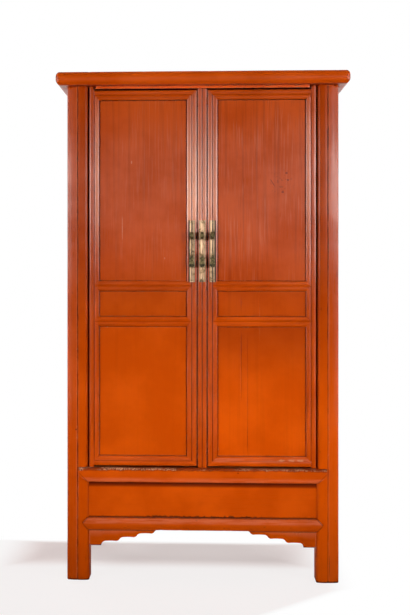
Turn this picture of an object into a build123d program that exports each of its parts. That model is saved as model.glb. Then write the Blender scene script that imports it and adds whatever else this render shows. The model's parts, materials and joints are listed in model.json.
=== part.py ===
from build123d import *
import os
from math import hypot

# A tall lacquered cabinet of frame and panel work, in millimetres, at its real size.
#
# The front faces -Y, +Z is up, and the origin is the middle of the floor under the box round
# the whole cabinet. Four shaped posts carry a mitred top frame. Rails are tenoned into the
# posts, and every panel floats in grooves. Two doors turn on wooden pivots that are part of
# their outer stiles; between them a centre stile lifts out. Behind the doors are a shelf, two
# drawers and a lift-out floor over a storage space.
#
# Most pieces are drawn for the left half (x < 0) and mirrored.

# --- overall sizes ------------------------------------------------------------------------
HEIGHT = 1885.0
WIDTH = 1012.0                  # over the posts
DEPTH = 520.0                   # over the posts

# --- top ----------------------------------------------------------------------------------
TOP_THICK = 49.0
TOP_SIDE_OVERHANG = 36.0
TOP_FRONT_OVERHANG = 36.0
TOP_BACK_OVERHANG = 12.0
TOP_RAIL_WIDTH = 84.0
TOP_NOSE = 13.0                 # how far the rounded edge swells
TOP_CORNER = 16.0               # corner radius in plan
TOP_PANEL_THICK = 18.0
TOP_TONGUE_THICK = 7.0
BATTEN_WIDTH = 40.0
BATTEN_THICK = 20.0
BATTEN_X = 180.0
HEAD_STRIP_HEIGHT = 10.5
HEAD_STRIP_THICK = 6.5
HEAD_STRIP_END = 23.5           # from the door's outer edge to the strip's end
HEAD_STRIP_PROUD = 7.0          # in front of the doors
HEAD_TONGUE = 5.0               # let into the top frame
HEAD_TONGUE_SET = 2.0
HEAD_TONGUE_THICK = 3.0
TOP_PANEL_DROP = 1.0            # panel below the rails' upper side
TOP_PLAY = 1.0                  # at the bottom of the top's grooves
KEY_LENGTH = 50.0               # tenon across each mitre of the top
KEY_THICK = 8.0
KEY_WIDTH = 25.0
KEY_FROM_FRONT = 24.0
KEY_OUT = 14.0                  # how far the key runs outside the posts

# --- posts --------------------------------------------------------------------------------
POST_WIDTH = 86.0
POST_DEPTH = 70.0
REBATE = 6.5                    # taken off the post's inner side beside the door
REBATE_DEPTH = 38.0
REBATE_FOOT = 1.0               # the rebate starts this far below the sill's top
FRONT_GROOVE = 43.5             # from the post's outer side to the groove down its front
SIDE_GROOVE = 35.0              # from the post's front to the groove down its side
POST_GROOVE_DEPTH = 3.2
POST_GROOVE_HALF = 1.2
LOBE_EDGE = 1.0                 # how far the lobes have fallen at the groove
LOBE_FALL = 5.0                 # how far they have fallen at the outer corner
LOBE_CORNER = 9.0
LOBE_BOW = 1.1                  # swell of the lobes that fall to the corner
INNER_FALL = 2.0                # how far the inner lobe has fallen where it turns inwards
INNER_ROUND = 8.0
INNER_TURN = 12.5               # where it has turned into the inner side
BACK_ROUND = 6.0
TOP_TENON_THICK = 20.0          # tenons on the posts' heads
TOP_TENON_WIDTH = 22.0
TOP_TENON_IN = 10.0             # from the post's inner side
TOP_TENON_OUT = 6.0             # from the post's outer side
TOP_TENON_SET = 14.0            # from the post's show face
TOP_SIDE_TENON_THICK = 18.0
TOP_SIDE_TENON_SET = 12.0       # from the side of the post that faces the other post
FRONT_SWELL = 1.45              # these two swells bring the lobes out to the overall sizes
SIDE_SWELL = 1.45

# --- heights of the rails, from the floor up -----------------------------------------------
APRON_SPACE = 188.0             # floor to lower rail
LOWER_RAIL_HEIGHT = 47.0
STORAGE_HEIGHT = 131.5
SILL_HEIGHT = 53.5
LOWER_PANEL_SPACE = 481.5       # between the door's bottom rail and its lower waist rail
WAIST_SPACE = 96.0              # between the waist rails

# --- rails --------------------------------------------------------------------------------
SILL_PROUD = 10.0               # in front of the posts
SILL_BOW = 1.0
SILL_TOP_ROUND = 9.0
SILL_BOTTOM_ROUND = 5.0
LOWER_PROUD = 8.0
LOWER_BOW = 7.0
FRONT_RAIL_BACK = 48.0          # from the posts' front to the back of the front rails
SILL_LAP = 38.0                 # how far the sill's ends run over the posts
SILL_LAP_TIP = 28.0             # height of the tip's straight end
SILL_LAP_KNEE = 8.0             # the slant underneath is steeper over this much at its end
SILL_LAP_START = 4.0
LOWER_LAP = 23.0
LOWER_LAP_BOW = 3.0
LAP_DEPTH = 2.0                 # how deep the laps are let into the posts
LEDGE = 12.0                    # ledge that carries the floor boards
SIDE_RAIL_SET = 3.0             # side rails lie behind the posts' outer sides
SIDE_RAIL_THICK = 37.0
SIDE_RAIL_BOW = 4.0
REAR_RAIL_SET = 5.0
REAR_RAIL_THICK = 30.0
REAR_CHEEK = 5.0                # shoulder on each side of the rear tenons
REAR_PANEL_SET = 9.0            # rear panels behind the rails' inner sides
STORAGE_PANEL_SET = 7.0         # storage panel behind the posts' front
MUNTIN_HALF = 18.0
TENON = 30.0
SIDE_TENON = 25.0
SIDE_TENON_SET = 22.0           # from the posts' outer sides
TENON_SHOULDER = 10.0
TENON_THICK = 15.0
STUB = 8.0                      # short tenons and tongues
GROOVE = 8.0                    # depth of the panel grooves
PANEL_THICK = 12.0
PANEL_SET = 18.0                # side panels lie behind the posts' outer sides

# --- aprons -------------------------------------------------------------------------------
APRON_FLAT = 36.0
APRON_RISER = 24.0
APRON_TREAD = 41.0
APRON_STEPS = 4
APRON_STEP_HEIGHT = 14.4
APRON_THICK = 16.0
APRON_SET = 6.0                 # behind the posts' front
APRON_TONGUE_THICK = 8.0
APRON_TONGUE = 6.0
RISER_BOW = 1.6
TREAD_BOW = 1.0                 # the treads arch a little
SIDE_APRON_FLAT = 20.0
SIDE_APRON_RISER = 14.0
SIDE_APRON_TREAD = 16.0
SIDE_APRON_STEPS = 3

# --- doors --------------------------------------------------------------------------------
DOOR_THICK = 28.0
DOOR_SET = 6.0                  # door front behind the posts' front
MEMBER = 36.0                   # width of every stile and rail in the doors
REED_SAG = 3.0                  # depth of the valley between the two reeds
CENTRE_HALF = 16.5              # half the centre stile's width
DOOR_GAP = 4.0                  # door to centre stile
DOOR_SIDE_GAP = 0.5             # door edge to the line of the post's inner side
DOOR_BOTTOM_GAP = 5.5
DOOR_TOP_GAP = 5.0              # door to head strip
MITRE_LAYER = 6.0               # thickness of the mitred front layer of a door joint
DOOR_TENON = 25.0
DOOR_TENON_THICK = 10.0
DOOR_TENON_SHOULDER = 6.0
DOOR_TENON_SET = 10.0           # from the door's front
DOOR_GROOVE_AT = 9.0            # from the door's front
DOOR_TONGUE_THICK = 6.0
FIELD_RAISE = 2.5
FIELD_GAP = 2.5                 # dark line round each panel
PANEL_PLAY = 1.0                # at the bottom of each door groove
DOOR_BATTEN_WIDTH = 40.0
DOOR_BATTEN_THICK = 11.0
BATTEN_PLAY = 0.3
BATTEN_PLACES = (0.25, 0.75)    # shares of the upper panel's height
NECK_BACK = 4.0                 # back of the pivot's neck behind its axis
PIVOT_BACK = 11.0               # pivot axis behind the door's front
PIVOT_R = 7.0
PIVOT_CLEARANCE = 0.08
PIVOT_TOP_LENGTH = 24.0
PIVOT_BOTTOM_LENGTH = 14.0
PIVOT_END_GAP = 0.5
PIVOT_TOP_GAP = 0.5             # shoulder to the top frame
PIVOT_FOOT_GAP = 0.3            # shoulder to the sill
CENTRE_LIFT = 9.0
CENTRE_TONGUE_HALF = 9.0
CENTRE_TONGUE_SET = 8.0         # behind the door's front
CENTRE_TONGUE_THICK = 12.0
CENTRE_TONGUE_UP = 22.0
CENTRE_TONGUE_DOWN = 8.0
CENTRE_PLAY = 0.3               # round and under the tongues

# --- brass --------------------------------------------------------------------------------
PLATE_HALF = 12.0
CENTRE_PLATE_HALF = 13.0
PLATE_DROP = 3.0                # plate below the top of the upper waist rail
PLATE_HEIGHT = 229.0
PLATE_THICK = 1.2
PLATE_GAP = 0.1
FIXING_GAP = 0.1                # lock eye in front of the plate
NAIL_FROM_END = 8.0
NAIL_HEAD_R = 4.0
NAIL_HEAD = 2.0
NAIL_SEAT = 0.75                # underside of the head in front of the door
NAIL_R = 1.2
NAIL_LENGTH = 12.0
HOLE_CLEARANCE = 0.1
STAPLE_ABOVE = 172.0            # lock eye above the plate's bottom
STAPLE_HALF = 6.25
STAPLE_RISE = 15.0              # half its height
STAPLE_REACH = 24.0             # in front of the door
LOCK_HOLE_R = 5.0
LOCK_HOLE_REACH = 13.5
SHANK_R = 3.0
CLENCH = 14.0                   # length of each bent leg behind the stile
CLENCH_HALF = 2.5
CLENCH_THICK = 2.4
PULL_ABOVE = 100.0              # pull's ring above the plate's bottom
RING_REACH = 9.8                # ring's centre in front of the door
RING_R = 5.6
RING_WIRE = 1.4
RING_SHANK_R = 2.0
PULL_THICK = 3.0
PULL_LENGTH = 46.0
PULL_SHOULDER_HALF = 10.0
PULL_NECK_HALF = 5.2
PULL_BELLY_HALF = 9.8
PULL_SHOULDER_AT = 10.5
PULL_NECK_AT = 20.0
PULL_BELLY_AT = 34.0
PULL_CLEARANCE = 0.35

# --- inside -------------------------------------------------------------------------------
BOARD = 12.0                    # floor boards, storage floor and shelf
BOARD_PLAY = 0.5
BEARER_HALF = 22.0
BEARER_HEIGHT = 30.0
INSIDE_SET = 52.0               # drawer fronts behind the posts' front
DRAWER_RAIL_HEIGHT = 24.0
DRAWER_RAIL_THICK = 26.0
DRAWER_REAR_SET = 2.0           # rear drawer rails behind the rear posts' front
DRAWER_TENON_SET = 2.0
DRAWER_TENON_SHOULDER = 4.0
RUNNER_DROP = 1.0               # runners below the doors' waist panels
DRAWER_SPACE = 100.0
DIVIDER_HALF = 12.0
RUNNER_WIDTH = 20.0
DRAWER_GAP = 1.5
DRAWER_FRONT_THICK = 14.0
DRAWER_SIDE = 10.0
DRAWER_BOTTOM = 6.0
DRAWER_BOTTOM_UP = 5.0
DRAWER_BOTTOM_LET = 4.0         # let into the sides
DRAWER_SIDE_DROP = 9.0          # sides below the rail above
DRAWER_BACK_ROOM = 14.0         # behind the drawer box
DRAWER_TENON = 12.0
KNOB_R = 11.0
KNOB_NECK_R = 5.0
KNOB_PEG_R = 4.0
KNOB_REACH = 14.0

# --- worked-out places --------------------------------------------------------------------
HALF = WIDTH / 2
TOP_HALF = HALF + TOP_SIDE_OVERHANG
TOP_BACK = (DEPTH + TOP_FRONT_OVERHANG + TOP_BACK_OVERHANG) / 2
TOP_FRONT = -TOP_BACK
FRONT = TOP_FRONT + TOP_FRONT_OVERHANG
BACK = FRONT + DEPTH
MIDDLE_Y = (FRONT + BACK) / 2
TOP_Z = HEIGHT - TOP_THICK                      # underside of the top frame
POST_IN = HALF - POST_WIDTH
POST_BACK = FRONT + POST_DEPTH
REAR_POST = BACK - POST_DEPTH

LOWER_Z = APRON_SPACE
LOWER_TOP = LOWER_Z + LOWER_RAIL_HEIGHT
SILL_Z = LOWER_TOP + STORAGE_HEIGHT
SILL_TOP = SILL_Z + SILL_HEIGHT
DOOR_Z = SILL_TOP + DOOR_BOTTOM_GAP
DOOR_TOP = TOP_Z - HEAD_STRIP_HEIGHT - DOOR_TOP_GAP
WAIST_1 = DOOR_Z + MEMBER + LOWER_PANEL_SPACE   # underside of the lower waist rail
WAIST_2 = WAIST_1 + MEMBER + WAIST_SPACE
MID_TOP = WAIST_2 + MEMBER                      # side and rear rails line up with the upper one

FRONT_RAIL_Y = FRONT + FRONT_RAIL_BACK
SIDE_OUT = HALF - SIDE_RAIL_SET
SIDE_IN = SIDE_OUT - SIDE_RAIL_THICK
REAR_OUT = BACK - REAR_RAIL_SET
REAR_IN = REAR_OUT - REAR_RAIL_THICK
REAR_PANEL = REAR_IN + REAR_PANEL_SET
SIDE_PANEL = HALF - PANEL_SET
LEDGE_Z = SILL_TOP - BOARD

DOOR_FRONT = FRONT + DOOR_SET
DOOR_BACK = DOOR_FRONT + DOOR_THICK
DOOR_OUT = POST_IN - DOOR_SIDE_GAP
DOOR_IN = CENTRE_HALF + DOOR_GAP
PIVOT_INSET = MEMBER / 4                        # the axis runs up the middle of the outer reed
PIVOT_X = DOOR_OUT - PIVOT_INSET
PIVOT_Y = DOOR_FRONT + PIVOT_BACK
STILE_OUT = DOOR_OUT - MEMBER                   # inner side of the pivot stile
STILE_IN = DOOR_IN + MEMBER                     # inner side of the lock stile
PLATE_X = DOOR_IN + MEMBER / 2
PLATE_BOTTOM = MID_TOP - PLATE_DROP

INSIDE_Y = FRONT + INSIDE_SET
DRAWER_Z = WAIST_1 + MEMBER - RUNNER_DROP
DRAWER_TOP = DRAWER_Z + DRAWER_SPACE
SHELF_Z = DRAWER_TOP + DRAWER_RAIL_HEIGHT
DRAWER_REAR = REAR_POST + DRAWER_REAR_SET
CLEAR = 50.0                    # reach of cutting shapes that run past everything in front


# --- drawing helpers ----------------------------------------------------------------------
def outline(*points):
    """Closed face through points, counterclockwise; a third number bows the side that ends there."""
    edges = []
    for (x0, y0, *_), (x1, y1, *bow) in zip(points, points[1:] + points[:1]):
        if bow:
            share = bow[0] / hypot(x1 - x0, y1 - y0)
            through = ((x0 + x1) / 2 + share * (y1 - y0), (y0 + y1) / 2 - share * (x1 - x0))
            edges.append(ThreePointArc((x0, y0), through, (x1, y1)))
        else:
            edges.append(Line((x0, y0), (x1, y1)))
    return make_face(edges)


def along_x(face, x0, x1):
    """Solid from a face drawn as (y, z)."""
    return extrude(Plane.YZ.offset(x0) * face, x1 - x0, dir=(1, 0, 0))


def along_y(face, y0, y1):
    """Solid from a face drawn as (x, z)."""
    return extrude(Plane.XZ.offset(-y0) * face, y1 - y0, dir=(0, 1, 0))


def along_z(face, z0, z1):
    """Solid from a face drawn as (x, y)."""
    return extrude(Pos(0, 0, z0) * face, z1 - z0, dir=(0, 0, 1))


def block(x0, x1, y0, y1, z0, z1):
    return Pos((x0 + x1) / 2, (y0 + y1) / 2, (z0 + z1) / 2) * Box(x1 - x0, y1 - y0, z1 - z0)


def other(shape):
    """The same piece on the other side of the cabinet."""
    return mirror(shape, about=Plane.YZ)


def both(shape):
    return [shape, other(shape)]


def rod_y(radius, x, z, y0, y1):
    return along_y(Pos(x, z) * Circle(radius), y0, y1)


def rod_z(radius, x, y, z0, z1):
    return along_z(Pos(x, y) * Circle(radius), z0, z1)


nodes = {}


def keep(name, *pieces):
    """Name a sub-part; each piece stays a solid of its own."""
    nodes[name] = pieces


def cut(shape, *tools):
    for tool in tools:
        shape = shape - tool
    return shape


# --- rails round the carcase --------------------------------------------------------------
def rail_section(front, back, z0, z1, bow, top_round=0.0, bottom_round=0.0, ledge=0.0):
    """Section of a rail: rounded front at the low coordinate, optional ledge behind."""
    corner = 1 - 0.5 ** 0.5
    edge = front + bow
    points = [(back + ledge, z0)]
    if ledge:
        points += [(back + ledge, LEDGE_Z), (back, LEDGE_Z)]
    points += [(back, z1), (edge + top_round, z1)]
    if top_round:
        points.append((edge, z1 - top_round, corner * top_round))
    points.append((edge, z0 + bottom_round, bow))
    if bottom_round:
        points.append((edge + bottom_round, z0, corner * bottom_round))
    return outline(*points)


def front_rail(section, z0, z1, lap):
    """Front rail whose face runs over the posts as far as the lap outline."""
    tenon_y = FRONT_RAIL_Y - TENON_THICK
    reach = max(abs(point[0]) for point in lap)
    body = along_x(section, -POST_IN, POST_IN)
    body += along_x(section, -reach, reach) & along_y(outline(*lap), FRONT - CLEAR, FRONT + LAP_DEPTH)
    return body + block(-POST_IN - TENON, POST_IN + TENON, tenon_y, tenon_y + TENON_THICK,
                        z0 + TENON_SHOULDER, z1 - TENON_SHOULDER)


def sill_lap():
    """Outline of the sill's face: the ends are cut off slanting underneath."""
    tip = POST_IN + SILL_LAP
    tip_z = SILL_TOP - SILL_LAP_TIP
    side = [(POST_IN + SILL_LAP_START, SILL_Z), (tip - SILL_LAP_KNEE, tip_z - SILL_LAP_KNEE),
            (tip, tip_z), (tip, SILL_TOP)]
    return side + [(-x, z) for x, z in reversed(side)]


def lower_lap():
    """Outline of the lower rail's face: pointed ends between two curves."""
    middle = (LOWER_Z + LOWER_TOP) / 2
    tip = POST_IN + LOWER_LAP
    return [(POST_IN, LOWER_Z), (tip, middle, LOWER_LAP_BOW), (POST_IN, LOWER_TOP, LOWER_LAP_BOW),
            (-POST_IN, LOWER_TOP), (-tip, middle, LOWER_LAP_BOW), (-POST_IN, LOWER_Z, LOWER_LAP_BOW)]


def side_rail(z0, z1, ledge=0.0):
    """Rail on the left side, with tenons into both posts."""
    section = rail_section(-SIDE_OUT, -SIDE_IN, z0, z1, SIDE_RAIL_BOW, ledge=ledge)
    tenon_x = -HALF + SIDE_TENON_SET
    return along_y(section, POST_BACK, REAR_POST) + block(
        tenon_x, tenon_x + TENON_THICK, POST_BACK - SIDE_TENON, REAR_POST + SIDE_TENON,
        z0 + TENON_SHOULDER, z1 - TENON_SHOULDER)


def rear_rail(z0, z1, ledge=0.0):
    rail = block(-POST_IN, POST_IN, REAR_IN, REAR_OUT, z0, z1)
    if ledge:
        rail += block(-POST_IN, POST_IN, REAR_IN - ledge, REAR_IN, z0, LEDGE_Z)
    return rail + block(-POST_IN - TENON, POST_IN + TENON, REAR_IN + REAR_CHEEK,
                        REAR_OUT - REAR_CHEEK, z0 + TENON_SHOULDER, z1 - TENON_SHOULDER)


sill_rail = front_rail(
    rail_section(FRONT - SILL_PROUD, FRONT_RAIL_Y, SILL_Z, SILL_TOP, SILL_BOW,
                 SILL_TOP_ROUND, SILL_BOTTOM_ROUND, LEDGE), SILL_Z, SILL_TOP, sill_lap())
lower_rail = front_rail(
    rail_section(FRONT - LOWER_PROUD, FRONT_RAIL_Y, LOWER_Z, LOWER_TOP, LOWER_BOW),
    LOWER_Z, LOWER_TOP, lower_lap())
side_rails = [side_rail(LOWER_Z, LOWER_TOP), side_rail(SILL_Z, SILL_TOP, LEDGE),
              side_rail(WAIST_2, MID_TOP)]
rear_rails = [rear_rail(LOWER_Z, LOWER_TOP), rear_rail(SILL_Z, SILL_TOP, LEDGE),
              rear_rail(WAIST_2, MID_TOP)]


def muntin(z0, z1):
    """Upright between the rear panels, with a short tenon at each end."""
    return block(-MUNTIN_HALF, MUNTIN_HALF, REAR_IN, REAR_OUT, z0, z1) + block(
        -STUB, STUB, REAR_PANEL, REAR_PANEL + PANEL_THICK, z0 - STUB, z1 + STUB)


muntins = [muntin(SILL_TOP, WAIST_2), muntin(MID_TOP, TOP_Z)]

# --- panels round the carcase -------------------------------------------------------------
storage_y = FRONT + STORAGE_PANEL_SET
storage_front_panel = block(-POST_IN - GROOVE, POST_IN + GROOVE, storage_y, storage_y + PANEL_THICK,
                            LOWER_TOP - GROOVE, SILL_Z + GROOVE)
side_panels = [
    block(-SIDE_PANEL, -SIDE_PANEL + PANEL_THICK, POST_BACK - GROOVE, REAR_POST + GROOVE,
          z0 - GROOVE, z1 + GROOVE)
    for z0, z1 in ((LOWER_TOP, SILL_Z), (SILL_TOP, WAIST_2), (MID_TOP, TOP_Z))]
rear_storage_panel = block(-POST_IN - GROOVE, POST_IN + GROOVE, REAR_PANEL, REAR_PANEL + PANEL_THICK,
                           LOWER_TOP - GROOVE, SILL_Z + GROOVE)
rear_panels = [
    block(-POST_IN - GROOVE, -MUNTIN_HALF + GROOVE, REAR_PANEL, REAR_PANEL + PANEL_THICK,
          z0 - GROOVE, z1 + GROOVE)
    for z0, z1 in ((SILL_TOP, WAIST_2), (MID_TOP, TOP_Z))]
rear_panels += [other(panel) for panel in rear_panels]
rear_panels.append(rear_storage_panel)


# --- aprons -------------------------------------------------------------------------------
def stepped_edge(start, flat, riser, tread, steps):
    """Points of an apron's lower edge, climbing inwards from a post in soft steps."""
    x = start + flat
    z = LOWER_Z - APRON_STEPS * APRON_STEP_HEIGHT
    points = [(start, z), (x, z)]
    for _ in range(steps):
        points.append((x + riser / 2, z + APRON_STEP_HEIGHT / 2, RISER_BOW))
        points.append((x + riser, z + APRON_STEP_HEIGHT, -RISER_BOW))
        x += riser + tread
        z += APRON_STEP_HEIGHT
        points.append((x, z, -TREAD_BOW))
    return points[:-1]


def apron_with_tongue(face, place, near):
    """Apron board with a tongue along its top, let into the rail above."""
    board = place(face, near, near + APRON_THICK)
    box = board.bounding_box()
    tongue = near + (APRON_THICK - APRON_TONGUE_THICK) / 2
    low, high = (box.min.X, box.max.X) if place is along_y else (box.min.Y, box.max.Y)
    strip = outline((low, LOWER_Z), (high, LOWER_Z), (high, LOWER_Z + APRON_TONGUE),
                    (low, LOWER_Z + APRON_TONGUE))
    return board + place(strip, tongue, tongue + APRON_TONGUE_THICK)


front_edge = stepped_edge(-POST_IN, APRON_FLAT, APRON_RISER, APRON_TREAD, APRON_STEPS)
spandrel = apron_with_tongue(outline(*front_edge, (-POST_IN, LOWER_Z)), along_y, FRONT + APRON_SET)

side_edge = stepped_edge(POST_BACK, SIDE_APRON_FLAT, SIDE_APRON_RISER, SIDE_APRON_TREAD,
                         SIDE_APRON_STEPS)
far_edge = [(2 * MIDDLE_Y - side_edge[-1][0], side_edge[-1][1])]
for (y0, z0, *_), (y1, z1, *bow) in zip(side_edge[-2::-1], side_edge[:0:-1]):
    far_edge.append((2 * MIDDLE_Y - y0, z0, *bow))
side_apron = apron_with_tongue(
    outline(*side_edge, *far_edge, (REAR_POST, LOWER_Z), (POST_BACK, LOWER_Z)), along_x,
    -HALF + APRON_SET)

lower_rail = cut(lower_rail, storage_front_panel, *both(spandrel))
sill_rail = sill_rail - storage_front_panel
side_rails = [cut(rail, *side_panels, side_apron) for rail in side_rails]
rear_rails = [cut(rail, *rear_panels, *muntins) for rail in rear_rails]
muntins = [cut(piece, *rear_panels) for piece in muntins]

# --- floors, shelf and drawer frame -------------------------------------------------------
storage_floor = block(-SIDE_IN - GROOVE, SIDE_IN + GROOVE, FRONT_RAIL_Y - GROOVE, REAR_IN + GROOVE,
                      LOWER_Z + BOARD, LOWER_Z + 2 * BOARD)
corner_notches = [
    block(x0, x1, y0, y1, 0, HEIGHT)
    for x0, x1 in ((-HALF, -POST_IN + BOARD_PLAY), (POST_IN - BOARD_PLAY, HALF))
    for y0, y1 in ((FRONT, POST_BACK + BOARD_PLAY), (REAR_POST - BOARD_PLAY, BACK))]
storage_floor = cut(storage_floor, *corner_notches)
lower_rail = lower_rail - storage_floor
side_rails[0] = side_rails[0] - storage_floor
rear_rails[0] = rear_rails[0] - storage_floor

floor_bearer = block(-BEARER_HALF, BEARER_HALF, FRONT_RAIL_Y + LEDGE - STUB, REAR_IN - LEDGE + STUB,
                     LEDGE_Z - BEARER_HEIGHT, LEDGE_Z)
sill_rail = sill_rail - floor_bearer
rear_rails[1] = rear_rails[1] - floor_bearer

floor_board = cut(
    block(-SIDE_IN + BOARD_PLAY, -BOARD_PLAY, FRONT_RAIL_Y + BOARD_PLAY, REAR_IN - BOARD_PLAY,
          LEDGE_Z, SILL_TOP), *corner_notches)
shelf_board = cut(
    block(-SIDE_IN + BOARD_PLAY, SIDE_IN - BOARD_PLAY, INSIDE_Y, REAR_IN - BOARD_PLAY,
          SHELF_Z, SHELF_Z + BOARD), *corner_notches)


def drawer_rail(y0, z0):
    """Rail across the cabinet over or under the drawers, tenoned into the posts."""
    z1 = z0 + DRAWER_RAIL_HEIGHT
    tenon_y = y0 + DRAWER_TENON_SET
    return block(-POST_IN, POST_IN, y0, y0 + DRAWER_RAIL_THICK, z0, z1) + block(
        -POST_IN - DRAWER_TENON, POST_IN + DRAWER_TENON, tenon_y, tenon_y + DRAWER_RAIL_THICK / 2,
        z0 + DRAWER_TENON_SHOULDER, z1 - DRAWER_TENON_SHOULDER)


RUNNER_Z = DRAWER_Z - DRAWER_RAIL_HEIGHT
drawer_frame = [drawer_rail(y, z) for y in (INSIDE_Y, DRAWER_REAR) for z in (RUNNER_Z, DRAWER_TOP)]
drawer_frame += [
    block(-DIVIDER_HALF, DIVIDER_HALF, y, y + DRAWER_RAIL_THICK, DRAWER_Z, DRAWER_TOP)
    for y in (INSIDE_Y, DRAWER_REAR)]
runner_front = INSIDE_Y + DRAWER_RAIL_THICK
drawer_frame += [
    block(x - RUNNER_WIDTH / 2, x + RUNNER_WIDTH / 2, runner_front, DRAWER_REAR, RUNNER_Z, DRAWER_Z)
    for x in (-POST_IN + RUNNER_WIDTH / 2, POST_IN - RUNNER_WIDTH / 2)]
drawer_frame.append(block(-2 * DIVIDER_HALF, 2 * DIVIDER_HALF, runner_front, DRAWER_REAR, RUNNER_Z,
                          DRAWER_Z))

# --- drawers ------------------------------------------------------------------------------
DRAWER_OUT = POST_IN - DRAWER_GAP
DRAWER_IN = DIVIDER_HALF + DRAWER_GAP
drawer_back = DRAWER_REAR - DRAWER_BACK_ROOM
box_y = INSIDE_Y + DRAWER_FRONT_THICK
bottom_z = DRAWER_Z + DRAWER_BOTTOM_UP
box_top = DRAWER_TOP - DRAWER_SIDE_DROP
inner_out = DRAWER_OUT - DRAWER_SIDE
inner_in = DRAWER_IN + DRAWER_SIDE

drawer_front = block(-DRAWER_OUT, -DRAWER_IN, INSIDE_Y, box_y, DRAWER_Z + DRAWER_GAP,
                     DRAWER_TOP - DRAWER_GAP)
drawer_bottom = block(-inner_out - DRAWER_BOTTOM_LET, -inner_in + DRAWER_BOTTOM_LET, box_y,
                      drawer_back - DRAWER_SIDE, bottom_z, bottom_z + DRAWER_BOTTOM)
drawer_sides = [
    block(x, x + DRAWER_SIDE, box_y, drawer_back, DRAWER_Z, box_top) - drawer_bottom
    for x in (-DRAWER_OUT, -DRAWER_IN - DRAWER_SIDE)]
drawer_end = block(-inner_out, -inner_in, drawer_back - DRAWER_SIDE, drawer_back, DRAWER_Z, box_top)

knob_x = -(DRAWER_OUT + DRAWER_IN) / 2
knob_z = DRAWER_Z + DRAWER_SPACE / 2
knob_profile = outline((0, 0), (KNOB_NECK_R, 0), (KNOB_NECK_R, 0.3 * KNOB_REACH, -0.6),
                       (KNOB_R, 0.65 * KNOB_REACH, -1.2), (0.7 * KNOB_R, KNOB_REACH, 1.4),
                       (0, KNOB_REACH))
drawer_knob = Pos(knob_x, INSIDE_Y, knob_z) * Rot(90, 0, 0) * revolve(
    Plane.XZ * knob_profile, Axis.Z)
knob_peg = rod_y(KNOB_PEG_R, knob_x, knob_z, INSIDE_Y, box_y - 2)
drawer_knob += knob_peg
drawer_front -= knob_peg


# --- doors --------------------------------------------------------------------------------
def reed_points(low, high, count):
    """Front line of reeds from low to high, each bowed towards the front."""
    width = (high - low) / count
    return [(low + i * width, DOOR_FRONT + REED_SAG, REED_SAG) for i in range(1, count + 1)]


def reeded_upright(x0, x1, z0, z1):
    """Upright with two reeds down its front."""
    front = [(x0, DOOR_FRONT + REED_SAG)] + reed_points(x0, x1, 2)
    return along_z(outline(*front, (x1, DOOR_BACK), (x0, DOOR_BACK)), z0, z1)


def reeded_crossbar(x0, x1, z0, z1):
    """Level bar with two reeds along its front."""
    back = [(DOOR_FRONT + REED_SAG, z0), (DOOR_BACK, z0), (DOOR_BACK, z1), (DOOR_FRONT + REED_SAG, z1)]
    middle = (DOOR_FRONT + REED_SAG, (z0 + z1) / 2, REED_SAG)
    return along_x(outline((*back[0], REED_SAG), *back[1:], middle), x0, x1)


def front_layer(*points):
    """All the room in front of a door joint's mitre, over an outline seen from the front."""
    return along_y(outline(*points), DOOR_FRONT - CLEAR, DOOR_FRONT + MITRE_LAYER)


def door_bar(z0, z1, layer):
    """Level bar of the left door: mitred in front, square behind, tenoned at both ends."""
    solid = reeded_crossbar(-DOOR_OUT, -DOOR_IN, z0, z1)
    behind = block(-STILE_OUT, -STILE_IN, DOOR_FRONT + MITRE_LAYER, DOOR_BACK, z0, z1)
    tenon_y = DOOR_FRONT + DOOR_TENON_SET
    tenon = block(-STILE_OUT - DOOR_TENON, -STILE_IN + DOOR_TENON, tenon_y,
                  tenon_y + DOOR_TENON_THICK, z0 + DOOR_TENON_SHOULDER, z1 - DOOR_TENON_SHOULDER)
    return (solid & layer) + (solid & behind) + tenon


def end_layer(outer, inner):
    """Mitre outline of a top or bottom bar; outer is the door's edge, inner the bar's other side."""
    middle = (outer + inner) / 2
    points = [(-STILE_OUT, inner), (-STILE_OUT - MEMBER / 2, middle), (-STILE_OUT - MEMBER / 2, outer),
              (-DOOR_IN, outer), (-STILE_IN, inner)]
    return front_layer(*(points if outer < inner else reversed(points)))


def waist_layer(z0, z1):
    """Mitre outline of a waist bar: each end comes to a point at the stile's middle."""
    middle = (z0 + z1) / 2
    return front_layer((-STILE_OUT, z0), (-STILE_IN, z0), (-STILE_IN + MEMBER / 2, middle),
                       (-STILE_IN, z1), (-STILE_OUT, z1), (-STILE_OUT - MEMBER / 2, middle))


end_layers = [end_layer(DOOR_Z, DOOR_Z + MEMBER), end_layer(DOOR_TOP, DOOR_TOP - MEMBER)]
waist_layers = [waist_layer(z, z + MEMBER) for z in (WAIST_1, WAIST_2)]
end_bars = [door_bar(DOOR_Z, DOOR_Z + MEMBER, end_layers[0]),
            door_bar(DOOR_TOP - MEMBER, DOOR_TOP, end_layers[1])]
waist_bars = [door_bar(z, z + MEMBER, layer) for z, layer in zip((WAIST_1, WAIST_2), waist_layers)]


def door_panel(z0, z1, batten_heights):
    """Floating panel: tongue, raised field a small gap inside the frame, and battens behind."""
    tongue_y = DOOR_FRONT + DOOR_GROOVE_AT
    back = tongue_y + DOOR_TONGUE_THICK
    reach = GROOVE - PANEL_PLAY
    tongue = block(-STILE_OUT - reach, -STILE_IN + reach, tongue_y, back, z0 - reach, z1 + reach)
    field = block(-STILE_OUT + FIELD_GAP, -STILE_IN - FIELD_GAP, tongue_y - FIELD_RAISE, tongue_y,
                  z0 + FIELD_GAP, z1 - FIELD_GAP)
    battens = [
        block(-STILE_OUT + BATTEN_PLAY, -STILE_IN - BATTEN_PLAY, back, back + DOOR_BATTEN_THICK,
              z - DOOR_BATTEN_WIDTH / 2, z + DOOR_BATTEN_WIDTH / 2) for z in batten_heights]
    return [tongue + field, *battens]


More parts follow.
